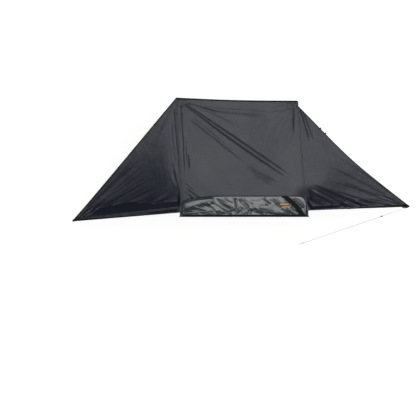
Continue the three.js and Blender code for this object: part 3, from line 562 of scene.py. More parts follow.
def refined_mesh(name, columns, rows, plan, folds):
    """A flat grid made finer over the arms and along the folds, with the shares from 0 to 1 of its
    vertices"""
    bm = bmesh.new()
    bmesh.ops.create_grid(bm, x_segments=columns, y_segments=rows, size=1.0)
    for reach, sharpest, arm_band in ((3.2, 2.0, 0.035), (1.7, 1.05, -0.01)):
        edges = list(bm.edges)
        flat = np.array([(edge.verts[0].co + edge.verts[1].co)[:2] for edge in edges]) / 4 + 0.5
        spots = plan(flat[:, 0], flat[:, 1])
        near = np.abs(flat[:, 0] - 0.5) > 0.5 - arm_band
        for start, end, high, width, sharp, bow in folds:
            if abs(high) < 0.0025 or sharp > sharpest:
                continue
            ends = plan(np.array((start[0], end[0])), np.array((start[1], end[1])))
            line = crease(spots, ends[0], ends[1], width, 1.0, bow, (0.01, 0.08))
            near |= line > math.exp(-reach)
        chosen = [edge for edge, wanted in zip(edges, near) if wanted]
        bmesh.ops.subdivide_edges(bm, edges=chosen, cuts=1, use_grid_fill=True)
    mesh = mesh_of(name, bm)
    flat = vertices_of(mesh) / 2 + 0.5
    return mesh, np.clip(flat[:, 0], 0.0, 1.0), np.clip(flat[:, 1], 0.0, 1.0)


def thicken(piece, thickness):
    """Gives a sheet its two faces and its edge"""
    wall = piece.modifiers.new("Thickness", "SOLIDIFY")
    wall.thickness = thickness
    wall.offset = 0.0
    return piece


def face_up(mesh):
    """Turns a sheet over if its faces look down"""
    normals = np.empty(len(mesh.polygons) * 3, np.float32)
    mesh.polygons.foreach_get("normal", normals)
    if normals.reshape(-1, 3)[:, 2].sum() < 0:
        mesh.flip_normals()


def panel(name, shape, folds, cells, thickness, material, body, turn=0.0):
    """A panel of cloth. Its weave follows the plan, turned by an angle."""
    plan, surface = shape
    mesh, across, out = refined_mesh(name, *cells, plan, folds)
    points = surface(across, out)
    place_vertices(mesh, points)
    face_up(mesh)
    cosine, sine = math.cos(turn), math.sin(turn)
    weave = np.array(((cosine, -sine), (sine, cosine)))
    lay_uv(mesh, points[:, :2] @ weave)
    return thicken(finished(name, mesh, material, body), thickness)


def strip(name, surface, across, out, cells, thickness, lift, material, body):
    """A tape or patch that follows a panel between shares across and out. Its UV runs from 0 to 1 over
    its width, and in metres along its length."""
    columns, rows = cells
    mesh, x_share, y_share = grid_mesh(name, columns, rows)
    points = surface(lerp(across[0], across[1], x_share), lerp(out[0], out[1], y_share))
    points[:, 2] += lift
    place_vertices(mesh, points)
    face_up(mesh)
    wide = np.linalg.norm(points[0] - points[columns])
    long = np.linalg.norm(points[0] - points[-1 - columns])
    along, width, span = (y_share, x_share, long) if long > wide else (x_share, y_share, wide)
    lay_uv(mesh, np.column_stack((width, along * span)))
    return thicken(finished(name, mesh, material, body), thickness)


def swept(name, outline, path, sides, ups, closed=False, capped=True):
    """A section drawn along a path. Its UV runs from 0 to 1 round the section, and in metres along."""
    count, steps = len(outline), len(path)
    lengths = np.concatenate(([0.0], np.cumsum(np.linalg.norm(np.diff(path, axis=0), axis=1))))
    bm = bmesh.new()
    layer = bm.loops.layers.uv.new("Weave")
    bmesh.ops.create_grid(bm, x_segments=count, y_segments=steps - 1, size=1.0, calc_uvs=True)
    for face in bm.faces:
        for loop in face.loops:
            loop[layer].uv.y *= lengths[-1]
    for vertex in bm.verts:
        column = round((vertex.co.x + 1) / 2 * count) % count
        row = round((vertex.co.y + 1) / 2 * (steps - 1))
        out, up = outline[column]
        vertex.co = Vector(path[row]) + Vector(sides[row]) * out + Vector(ups[row]) * up
    bmesh.ops.remove_doubles(bm, verts=bm.verts, dist=1e-6)
    if capped and not closed:
        edges = [edge for edge in bm.edges if edge.is_boundary]
        bmesh.ops.holes_fill(bm, edges=edges, sides=0)
    bmesh.ops.recalc_face_normals(bm, faces=bm.faces)
    return mesh_of(name, bm)


def round_outline(radius, sides):
    return [(radius * math.cos(i * math.tau / sides), radius * math.sin(i * math.tau / sides))
            for i in range(sides)]


def frames_along(path, up=(0, 0, 1)):
    """Side and up directions, square to a path"""
    ahead = np.gradient(path, axis=0)
    ahead /= np.linalg.norm(ahead, axis=1)[:, None]
    sides = np.cross(np.array(up, float), ahead)
    sides /= np.linalg.norm(sides, axis=1)[:, None]
    return sides, np.cross(ahead, sides)


# Shader nodes

def add(tree, kind, sockets=None, **settings):
    """Adds a node. A socket given another node's output is linked, and any other value is set."""
    made = tree.nodes.new(kind)
    for name, value in settings.items():
        setattr(made, name, value)
    for key, value in (sockets or {}).items():
        if isinstance(value, bpy.types.NodeSocket):
            tree.links.new(value, made.inputs[key])
        else:
            made.inputs[key].default_value = value
    return made


def math_node(tree, operation, first, second=0.0, third=0.0):
    made = add(tree, "ShaderNodeMath", {0: first, 1: second, 2: third}, operation=operation)
    return made.outputs[0]


def mix_colour(tree, share, first, second, blend="MIX"):
    sockets = {"Factor": share, 6: first, 7: second}
    return add(tree, "ShaderNodeMix", sockets, data_type="RGBA", blend_type=blend).outputs[2]


def group(name, inputs, outputs):
    """An empty node group with named sockets, its input node and its output node"""
    tree = bpy.data.node_groups.new(name, "ShaderNodeTree")
    for label, kind, default in inputs:
        socket = tree.interface.new_socket(label, in_out="INPUT", socket_type=kind)
        if default is not None:
            socket.default_value = default
    for label, kind in outputs:
        tree.interface.new_socket(label, in_out="OUTPUT", socket_type=kind)
    return tree, tree.nodes.new("NodeGroupInput"), tree.nodes.new("NodeGroupOutput")


def use(tree, name, sockets):
    made = add(tree, "ShaderNodeGroup", node_tree=bpy.data.node_groups[name])
    for key, value in sockets.items():
        if isinstance(value, bpy.types.NodeSocket):
            tree.links.new(value, made.inputs[key])
        else:
            made.inputs[key].default_value = value
    return made


def build_weave_group():
    """Crossing threads on a UV map, with a thicker rip-stop thread at each cell"""
    tree, given, result = group(
        "Weave",
        (("Vector", "NodeSocketVector", None), ("Thread", "NodeSocketFloat", 0.0006),
         ("Cell", "NodeSocketFloat", 0.005)),
        (("Height", "NodeSocketFloat"), ("Cell lines", "NodeSocketFloat")))
    parts = add(tree, "ShaderNodeSeparateXYZ", {"Vector": given.outputs["Vector"]})
    waves, lines = [], []
    for axis in ("X", "Y"):
        turn = math_node(tree, "DIVIDE", parts.outputs[axis], given.outputs["Thread"])
        waves.append(math_node(tree, "SINE", math_node(tree, "MULTIPLY", turn, math.pi)))
        cell = math_node(tree, "DIVIDE", parts.outputs[axis], given.outputs["Cell"])
        near = math_node(tree, "ABSOLUTE", math_node(tree, "SUBTRACT", math_node(tree, "FRACT", cell), 0.5))
        lines.append(math_node(tree, "GREATER_THAN", near, 0.42))
    height = math_node(tree, "MULTIPLY", waves[0], waves[1])
    line = math_node(tree, "MAXIMUM", lines[0], lines[1])
    tree.links.new(math_node(tree, "MULTIPLY_ADD", line, 0.8, height), result.inputs["Height"])
    tree.links.new(line, result.inputs["Cell lines"])


def build_dust_group():
    """Uneven cloudy shade and fine specks on Object coordinates"""
    tree, given, result = group(
        "Dust",
        (("Vector", "NodeSocketVector", None), ("Size", "NodeSocketFloat", 4.0),
         ("Fine", "NodeSocketFloat", 90.0)),
        (("Cloud", "NodeSocketFloat"), ("Speck", "NodeSocketFloat")))
    cloud = add(tree, "ShaderNodeTexNoise",
                {"Vector": given.outputs["Vector"], "Scale": given.outputs["Size"], "Detail": 5.0,
                 "Roughness": 0.6})
    fine = add(tree, "ShaderNodeTexNoise",
               {"Vector": given.outputs["Vector"], "Scale": given.outputs["Fine"], "Detail": 2.0})
    tree.links.new(cloud.outputs["Fac"], result.inputs["Cloud"])
    tree.links.new(fine.outputs["Fac"], result.inputs["Speck"])


def build_scuff_group():
    """Fine scratches, stretched along one direction of Object coordinates"""
    tree, given, result = group(
        "Scuffs",
        (("Vector", "NodeSocketVector", None), ("Stretch", "NodeSocketVector", (6.0, 260.0, 260.0))),
        (("Scratches", "NodeSocketFloat"), ("Wear", "NodeSocketFloat")))
    mapping = add(tree, "ShaderNodeMapping",
                  {"Vector": given.outputs["Vector"], "Scale": given.outputs["Stretch"]})
    lines = add(tree, "ShaderNodeTexNoise", {"Vector": mapping.outputs[0], "Scale": 1.0, "Detail": 3.0})
    worn = add(tree, "ShaderNodeTexNoise",
               {"Vector": given.outputs["Vector"], "Scale": 22.0, "Detail": 6.0, "Roughness": 0.7})
    mask = add(tree, "ShaderNodeMapRange",
               {"Value": worn.outputs["Fac"], "From Min": 0.6, "From Max": 0.74})
    tree.links.new(lines.outputs["Fac"], result.inputs["Scratches"])
    tree.links.new(mask.outputs[0], result.inputs["Wear"])


def build_stitch_group():
    """Two rows of stitches on a tape whose UV runs from 0 to 1 over its width"""
    tree, given, result = group(
        "Stitches",
        (("Vector", "NodeSocketVector", None), ("Row", "NodeSocketFloat", 0.14),
         ("Pitch", "NodeSocketFloat", 0.0042), ("Rib", "NodeSocketFloat", 0.0012)),
        (("Thread", "NodeSocketFloat"), ("Height", "NodeSocketFloat")))
    parts = add(tree, "ShaderNodeSeparateXYZ", {"Vector": given.outputs["Vector"]})
    folded = math_node(tree, "ABSOLUTE", math_node(tree, "SUBTRACT", parts.outputs["X"], 0.5))
    row = math_node(tree, "SUBTRACT", 0.5, given.outputs["Row"])
    near = math_node(tree, "ABSOLUTE", math_node(tree, "SUBTRACT", folded, row))
    on_row = math_node(tree, "LESS_THAN", near, 0.035)
    step = math_node(tree, "FRACT", math_node(tree, "DIVIDE", parts.outputs["Y"], given.outputs["Pitch"]))
    thread = math_node(tree, "MULTIPLY", on_row, math_node(tree, "LESS_THAN", step, 0.68))
    ribs = math_node(tree, "DIVIDE", parts.outputs["Y"], given.outputs["Rib"])
    rib = math_node(tree, "ABSOLUTE", math_node(tree, "SINE", math_node(tree, "MULTIPLY", ribs, math.pi)))
    tree.links.new(thread, result.inputs["Thread"])
    tree.links.new(math_node(tree, "MULTIPLY_ADD", thread, 1.6, rib), result.inputs["Height"])


def new_material(name, colour, roughness, metallic=0.0, **plain):
    """A material with its shader: base colour, roughness, metallic, and plain values by socket name"""
    material = bpy.data.materials.new(name)
    material.use_nodes = True
    tree = material.node_tree
    shader = tree.nodes["Principled BSDF"]
    shader.inputs["Base Color"].default_value = (*colour, 1.0)
    shader.inputs["Roughness"].default_value = roughness
    shader.inputs["Metallic"].default_value = metallic
    for key, value in plain.items():
        shader.inputs[key.replace("_", " ")].default_value = value
    material.diffuse_color = (*colour, 1.0)
    return material, tree, shader


def scaled(colour, factor):
    return (*(channel * factor for channel in colour), 1.0)


def bump(tree, shader, height, distance, strength=1.0, under=None):
    sockets = {"Height": height, "Distance": distance, "Strength": strength}
    if under:
        sockets["Normal"] = under
    made = add(tree, "ShaderNodeBump", sockets)
    tree.links.new(made.outputs[0], shader.inputs["Normal"])
    return made.outputs[0]


def spread_value(tree, value, low, high):
    """Takes a mask from 0 to 1 to a range"""
    return add(tree, "ShaderNodeMapRange", {"Value": value, "To Min": low, "To Max": high}).outputs[0]


def canvas_material(values):
    material, tree, shader = new_material(
        "canvas", values.shade, 0.46, Sheen_Weight=0.0, Specular_IOR_Level=0.5)
    where = add(tree, "ShaderNodeTexCoord")
    weave = use(tree, "Weave", {"Vector": where.outputs["UV"]})
    dust = use(tree, "Dust", {"Vector": where.outputs["Object"], "Size": 1.6, "Fine": 60.0})
    tint = mix_colour(tree, dust.outputs["Cloud"], (0.0030, 0.0055, 0.0170, 1.0),
                      (0.0085, 0.0070, 0.0165, 1.0))
    faded = mix_colour(tree, spread_value(tree, dust.outputs["Speck"], 0.0, 0.28), tint,
                       scaled(values.shade, 1.9))
    lines = mix_colour(tree, math_node(tree, "MULTIPLY", weave.outputs["Cell lines"], 0.35), faded,
                       scaled(values.shade, 1.5))
    tree.links.new(lines, shader.inputs["Base Color"])
    tree.links.new(spread_value(tree, dust.outputs["Cloud"], 0.41, 0.53), shader.inputs["Roughness"])
    crumple = add(tree, "ShaderNodeTexNoise",
                  {"Vector": where.outputs["Object"], "Scale": 26.0, "Detail": 4.0, "Distortion": 0.6})
    soft = bump(tree, shader, crumple.outputs["Fac"], 0.004, 0.35)
    bump(tree, shader, weave.outputs["Height"], 0.00012, 0.35, soft)
    return material


def vinyl_material(values):
    material, tree, shader = new_material(
        "vinyl", values.shade, 0.38, Coat_Weight=0.5, Coat_Roughness=0.3, Specular_IOR_Level=0.75)
    where = add(tree, "ShaderNodeTexCoord")
    dust = use(tree, "Dust", {"Vector": where.outputs["Object"], "Size": 6.0, "Fine": 120.0})
    weave = use(tree, "Weave", {"Vector": where.outputs["UV"], "Thread": 0.0011, "Cell": 1.0})
    tint = mix_colour(tree, dust.outputs["Cloud"], scaled(values.shade, 0.75), scaled(values.shade, 1.3))
    tree.links.new(tint, shader.inputs["Base Color"])
    tree.links.new(spread_value(tree, dust.outputs["Speck"], 0.32, 0.44), shader.inputs["Roughness"])
    creases = add(tree, "ShaderNodeTexNoise",
                  {"Vector": where.outputs["Object"], "Scale": 34.0, "Detail": 5.0, "Roughness": 0.62,
                   "Distortion": 1.2})
    soft = bump(tree, shader, creases.outputs["Fac"], 0.002, 0.16)
    bump(tree, shader, weave.outputs["Height"], 0.0001, 0.4, soft)
    return material


def tape_material(name, colour, thread, roughness=0.7, gloss=0.15):
    material, tree, shader = new_material(name, colour, roughness, Specular_IOR_Level=gloss)
    where = add(tree, "ShaderNodeTexCoord")
    stitches = use(tree, "Stitches", {"Vector": where.outputs["UV"]})
    dust = use(tree, "Dust", {"Vector": where.outputs["Object"], "Size": 9.0, "Fine": 240.0})
    worn = mix_colour(tree, dust.outputs["Cloud"], scaled(colour, 0.7), scaled(colour, 1.5))
    sewn = mix_colour(tree, stitches.outputs["Thread"], worn, (*thread, 1.0))
    tree.links.new(sewn, shader.inputs["Base Color"])
    tree.links.new(spread_value(tree, dust.outputs["Speck"], roughness - 0.1, roughness + 0.1),
                   shader.inputs["Roughness"])
    bump(tree, shader, stitches.outputs["Height"], 0.0004, 0.6)
    return material


def cord_material(colour):
    """A braided sheath: two sets of strands wind round a UV that runs from 0 to 1 round the rope"""
    material, tree, shader = new_material("cord", colour, 0.75)
    where = add(tree, "ShaderNodeTexCoord")
    parts = add(tree, "ShaderNodeSeparateXYZ", {"Vector": where.outputs["UV"]})
    strands = []
    for way in (1.0, -1.0):
        climb = math_node(tree, "MULTIPLY", parts.outputs["Y"], way * 160.0)
        turn = math_node(tree, "MULTIPLY_ADD", parts.outputs["X"], 4.0, climb)
        strands.append(math_node(tree, "SINE", math_node(tree, "MULTIPLY", turn, math.tau)))
    braid = math_node(tree, "MULTIPLY", strands[0], strands[1])
    fleck = math_node(tree, "GREATER_THAN", math_node(tree, "ADD", strands[0], strands[1]), 1.75)
    dust = use(tree, "Dust", {"Vector": where.outputs["Object"], "Size": 14.0, "Fine": 400.0})
    base = mix_colour(tree, dust.outputs["Cloud"], scaled(colour, 0.86), scaled(colour, 1.06))
    tree.links.new(mix_colour(tree, math_node(tree, "MULTIPLY", fleck, 0.5), base, scaled(colour, 0.45)),
                   shader.inputs["Base Color"])
    bump(tree, shader, braid, 0.0003, 0.6)
    return material


def metal_material(name, colour, roughness, metallic, stretch, wear):
    """Metal with drawn or turned lines, cloudy shade and worn spots"""
    material, tree, shader = new_material(name, colour, roughness, metallic)
    where = add(tree, "ShaderNodeTexCoord")
    scuffs = use(tree, "Scuffs", {"Vector": where.outputs["Object"], "Stretch": stretch})
    dust = use(tree, "Dust", {"Vector": where.outputs["Object"], "Size": 7.0, "Fine": 300.0})
    shade = mix_colour(tree, dust.outputs["Cloud"], scaled(colour, 0.8), scaled(colour, 1.2))
    worn = mix_colour(tree, math_node(tree, "MULTIPLY", scuffs.outputs["Wear"], wear), shade,
                      scaled(colour, 2.2))
    tree.links.new(worn, shader.inputs["Base Color"])
    tree.links.new(spread_value(tree, scuffs.outputs["Scratches"], roughness - 0.1, roughness + 0.12),
                   shader.inputs["Roughness"])
    bump(tree, shader, scuffs.outputs["Scratches"], 0.0002, 0.35)
    return material


def plastic_material(name, colour, roughness, grain):
    """Moulded plastic or rubber with a fine grain and dust in it"""
    material, tree, shader = new_material(name, colour, roughness)
    where = add(tree, "ShaderNodeTexCoord")
    dust = use(tree, "Dust", {"Vector": where.outputs["Object"], "Size": 12.0, "Fine": grain})
    shade = mix_colour(tree, dust.outputs["Cloud"], scaled(colour, 0.75), scaled(colour, 1.7))
    tree.links.new(shade, shader.inputs["Base Color"])
    tree.links.new(spread_value(tree, dust.outputs["Cloud"], roughness - 0.08, roughness + 0.12),
                   shader.inputs["Roughness"])
    bump(tree, shader, dust.outputs["Speck"], 0.0003, 0.5)
    return material


FINISH_OF = {
    "mounting_rail": "anodised", "rail_cap": "moulded", "hub": "coated", "pivot_bolt": "zinc",
    "knuckle": "coated", "arm": "anodised", "tip": "moulded", "leg_clip": "moulded",
    "leg_knuckle": "moulded", "leg_outer": "anodised", "leg_collar": "moulded", "leg_lever": "lever",
    "leg_inner": "silver", "leg_foot": "rubber", "guy_slider": "moulded", "guy_hook": "zinc",
}


def finish_for(node):
    """The finish of a node, by the longest part name that its name holds"""
    found = [key for key in FINISH_OF if key in node]
    return FINISH_OF[max(found, key=len)] if found else "moulded"


class AWNING_OT_stage(bpy.types.Operator):
    """Camera straight above, overhead lamp, plain surroundings and pale floor"""

    bl_idname = "awning.stage"
    bl_label = "Stage"

    def execute(self, context):
        values = context.scene.awning_stage
        scene = context.scene
        scene.view_settings.view_transform = "Standard"
        camera = bpy.data.objects.new("camera", bpy.data.cameras.new("camera"))
        scene.collection.objects.link(camera)
        camera.location = Vector(values.aim) + UP * values.distance
        camera.data.lens = camera.data.sensor_width * values.distance / values.image_width
        camera.data.clip_end = 400.0
        scene.camera = camera
        self.hang_lamp("overhead", values.lamp_place, values.lamp_size, values.lamp_power)
        for name, place in (("side_left", (-9.0, -4.5, 4.2)), ("side_right", (9.0, -4.0, 4.2))):
            self.hang_lamp(name, place, (8.0, 5.0), values.fill_power)
        world = bpy.data.worlds.new("surroundings")
        world.use_nodes = True
        world.node_tree.nodes["Background"].inputs["Color"].default_value = (0.78, 0.89, 1.0, 1.0)
        world.node_tree.nodes["Background"].inputs["Strength"].default_value = values.sky
        scene.world = world
        self.lay_floor(values)
        return {"FINISHED"}

    def hang_lamp(self, name, place, size, power):
        """A soft lamp that points at the middle of the canopy, or straight down if it hangs over it"""
        light = bpy.data.lights.new(name, "AREA")
        light.shape = "RECTANGLE"
        light.size, light.size_y = size
        light.energy = power
        lamp = bpy.data.objects.new(name, light)
        lamp.location = place
        if name != "overhead":
            aim = Vector((0.0, 0.9, 0.0)) - Vector(place)
            lamp.rotation_euler = aim.to_track_quat("-Z", "Y").to_euler()
        bpy.context.scene.collection.objects.link(lamp)

    def lay_floor(self, values):
        bm = bmesh.new()
        bmesh.ops.create_grid(bm, x_segments=1, y_segments=1, size=220.0)
        bmesh.ops.translate(bm, verts=bm.verts, vec=(0, 0, values.floor_height))
        mesh = mesh_of("floor", bm)
        floor = bpy.data.objects.new("floor", mesh)
        bpy.context.scene.collection.objects.link(floor)
        material, tree, shader = new_material("floor", (0.9, 0.9, 0.9), 0.9, Specular_IOR_Level=0.0)
        path = add(tree, "ShaderNodeLightPath")
        white = add(tree, "ShaderNodeEmission", {"Color": (1, 1, 1, 1), "Strength": 0.86})
        pale = add(tree, "ShaderNodeBsdfDiffuse", {"Color": (0.37, 0.35, 0.33, 1.0)})
        seen = add(tree, "ShaderNodeAddShader")
        tree.links.new(white.outputs[0], seen.inputs[0])
        tree.links.new(pale.outputs[0], seen.inputs[1])
        looking = math_node(tree, "MAXIMUM", path.outputs["Is Camera Ray"], path.outputs["Is Glossy Ray"])
        looking = math_node(tree, "MAXIMUM", looking, path.outputs["Is Transmission Ray"])
        mixed = add(tree, "ShaderNodeMixShader", {0: looking})
        tree.links.new(shader.outputs[0], mixed.inputs[1])
        tree.links.new(seen.outputs[0], mixed.inputs[2])
        tree.links.new(mixed.outputs[0], tree.nodes["Material Output"].inputs["Surface"])
        mesh.materials.append(material)


def guy_route(values):
    """Points of the rope from the eye on the right end arm's tip to the hook"""
    arm = ARMS["right_end"]
    eye = np.array(arm.point(arm.reach - ARM_WIDTH / 2, -(ARM_WIDTH / 2 + 0.0034)))
    end = np.array(values.end)
    pull = (end - eye) / np.linalg.norm(end - eye)
    start = eye + pull * 0.0078
    share = np.linspace(0.0, 1.0, 401)
    points = lerp(start, end, share[:, None])
    points[:, 2] -= values.sag * np.sin(np.pi * share)
    return eye, pull, points


class AWNING_OT_guy_rope(bpy.types.Operator):
    """Braided guy rope, with a loop and a knot at its eye and at its hook"""

    bl_idname = "awning.guy_rope"
    bl_label = "Guy rope"

    def execute(self, context):
        values = context.scene.awning_guy
        eye, pull, path = guy_route(values)
        material = cord_material(values.shade)
        radius = values.diameter / 2
        sides, ups = frames_along(path)
        mesh = swept("rope", round_outline(radius, 10), path, sides, ups)
        rope = finished("rope", mesh, material, "right_end_arm")
        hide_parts("guy_rope")
        end_pull = (path[-1] - path[-2]) / np.linalg.norm(path[-1] - path[-2])
        for name, middle_point, way in (
            ("eye", eye + pull * 0.006, pull),
            ("hook", path[-1] + end_pull * 0.0028, end_pull),
        ):
            self.loop(f"rope_{name}_loop", middle_point, way, radius, material)
        self.knot("rope_eye_knot", path, 0.022, radius, material)
        self.knot("rope_hook_knot", path[::-1], 0.022, radius, material)
        return {"FINISHED"}

    def loop(self, name, centre, way, radius, material):
        """A ring of rope in an upright plane along the rope, through the eye that holds it"""
        turn = np.linspace(0.0, math.tau, 41)[:, None]
        side = np.cross(way, np.array(UP))
        side /= np.linalg.norm(side)
        over = np.cross(side, way)
        path = centre + (way * np.cos(turn) + over * np.sin(turn)) * 0.0062
        outward = way * np.cos(turn) + over * np.sin(turn)
        sides = np.tile(side, (len(path), 1))
        mesh = swept(name, round_outline(radius, 10), path, sides, outward, closed=True)
        return finished(name, mesh, material, "right_end_arm")

    def knot(self, name, path, start, radius, material):
        """Turns of the rope's end wound round the rope, with a short tail"""
        way = (path[8] - path[0]) / np.linalg.norm(path[8] - path[0])
        side = np.cross(way, np.array(UP))
        side /= np.linalg.norm(side)
        over = np.cross(side, way)
        turn = np.linspace(0.0, math.tau * 4, 97)[:, None]
        tail = np.clip((turn / math.tau - 3.4) / 0.6, 0.0, 1.0)
        out = radius * 2.05 + tail * 0.004
        along = start + turn / math.tau * radius * 2.1
        helix = path[0] + way * along + (side * np.cos(turn) + over * np.sin(turn)) * out
        sides, ups = frames_along(helix, way)
        mesh = swept(name, round_outline(radius, 8), helix, sides, ups)
        return finished(name, mesh, material, "right_end_arm")


class AWNING_OT_finishes(bpy.types.Operator):
    """Materials of every piece of the frame"""

    bl_idname = "awning.finishes"
    bl_label = "Finishes"

    def execute(self, context):
        made = {
            "anodised": metal_material("anodised", (0.052, 0.054, 0.058), 0.38, 0.85, (3.0, 300.0, 300.0), 0.25),
            "silver": metal_material("silver", (0.50, 0.51, 0.53), 0.32, 1.0, (4.0, 320.0, 320.0), 0.3),
            "coated": metal_material("coated", (0.016, 0.0165, 0.018), 0.5, 0.0, (140.0, 140.0, 140.0), 0.6),
            "zinc": metal_material("zinc", (0.42, 0.42, 0.40), 0.36, 1.0, (90.0, 90.0, 90.0), 0.4),
            "moulded": plastic_material("moulded", (0.012, 0.0125, 0.014), 0.55, 420.0),
            "lever": plastic_material("lever", (0.020, 0.020, 0.021), 0.42, 420.0),
            "rubber": plastic_material("rubber", (0.010, 0.010, 0.0105), 0.8, 260.0),
        }
        for name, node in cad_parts.items():
            node.data.materials.clear()
            node.data.materials.append(made[finish_for(name)])
        return {"FINISHED"}


def squash_with_arms(pieces):
    """Gives each piece its own copy of its mesh"""
    for piece in pieces:
        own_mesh(piece)


class AWNING_OT_canopy(bpy.types.Operator):
    """Three panels of cloth with their hems, seam tapes, corner patches and webbing loops"""

    bl_idname = "awning.canopy"
    bl_label = "Canopy"

    def execute(self, context):
        values = context.scene.awning_canopy
        canopy = Canopy(values)
        cloth = canvas_material(values)
        tape = tape_material("binding", (0.0062, 0.0058, 0.0066), (0.022, 0.021, 0.024))
        self.sewn = tape_material("sewn_canvas", values.shade, (0.006, 0.006, 0.008), 0.48, 0.5)
        (left_plan, left), (right_plan, right) = canopy.side("left"), canopy.side("right")
        turns = {"left": math.radians(41.0), "right": math.radians(-49.0)}
        size = (values.columns, values.rows)
        centre = panel("canopy_cloth_centre", (canopy.centre_plan, canopy.centre), CENTRE_FOLDS, size,
                       values.thickness, cloth, "rail")
        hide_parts("canopy_centre")
        trims = self.centre_trims(canopy, values, tape)
        squash_with_arms([centre, *trims])
        for side, plan, surface, folds, flat, area, share in (
            ("left", left_plan, left, LEFT_FOLDS, (1.94, 2.18), 2.10, 0.68),
            ("right", right_plan, right, RIGHT_FOLDS, (1.96, 1.87), 1.68, 0.74),
        ):
            body = f"{side}_mid_arm"
            cells = [round(count * share) for count in size]
            sheet = panel(f"canopy_cloth_{side}", (plan, surface), folds, cells, values.thickness, cloth, body,
                          turns[side])
            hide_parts(f"canopy_{side}")
            trims = self.side_trims(side, surface, values, tape)
            squash_with_arms([sheet, *trims])
            self.seam(side, canopy, values, tape)
        return {"FINISHED"}

    def centre_trims(self, canopy, values, tape):
        inset = values.hem_width / 2.05
        thick = values.thickness * 2.6
        hem = strip("canopy_front_hem", canopy.centre, (0.0, 1.0), (1 - inset, 1.0012), (230, 3), thick,
                    0.0, tape, "rail")
        patches = []
        for name, across in (("left", (0.012, 0.085)), ("right", (0.988, 0.915))):
            patches.append(strip(f"canopy_front_patch_{name}", canopy.centre, across, (0.925, 0.986),
                                 (18, 16), thick, 0.0, self.sewn, "rail"))
        return [hem, *patches]

    def side_trims(self, side, surface, values, tape):
        body = f"{side}_mid_arm"
        thick = values.thickness * 2.6
        outer = strip(f"canopy_{side}_outer_hem", surface, (0.0, 1.0), (1 - values.hem_width / 1.9, 1.0012),
                      (230, 3), thick, 0.0, tape, body)
        lower = strip(f"canopy_{side}_lower_hem", surface, (0.984, 1.0006), (0.0, 1.0), (3, 200), thick,
                      0.0, tape, body)
        patch = strip(f"canopy_{side}_end_patch", surface, (0.91, 0.985), (0.93, 0.987), (18, 16), thick,
                      0.0, self.sewn, body)
        return [outer, lower, patch]

    def seam(self, side, canopy, values, tape):
        """The taped, double-stitched seam over a middle arm"""
        half = values.tape_width / 2 / 2.15
        across = (-half, half) if side == "left" else (1 - half, 1 + half)
        sewn = strip(f"canopy_{side}_seam", canopy.centre, across, (0.01, 0.9985), (4, 220),
                     values.thickness * 2.2, 0.0, self.sewn, f"{side}_mid_arm")
        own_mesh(sewn)


# The cover's shape

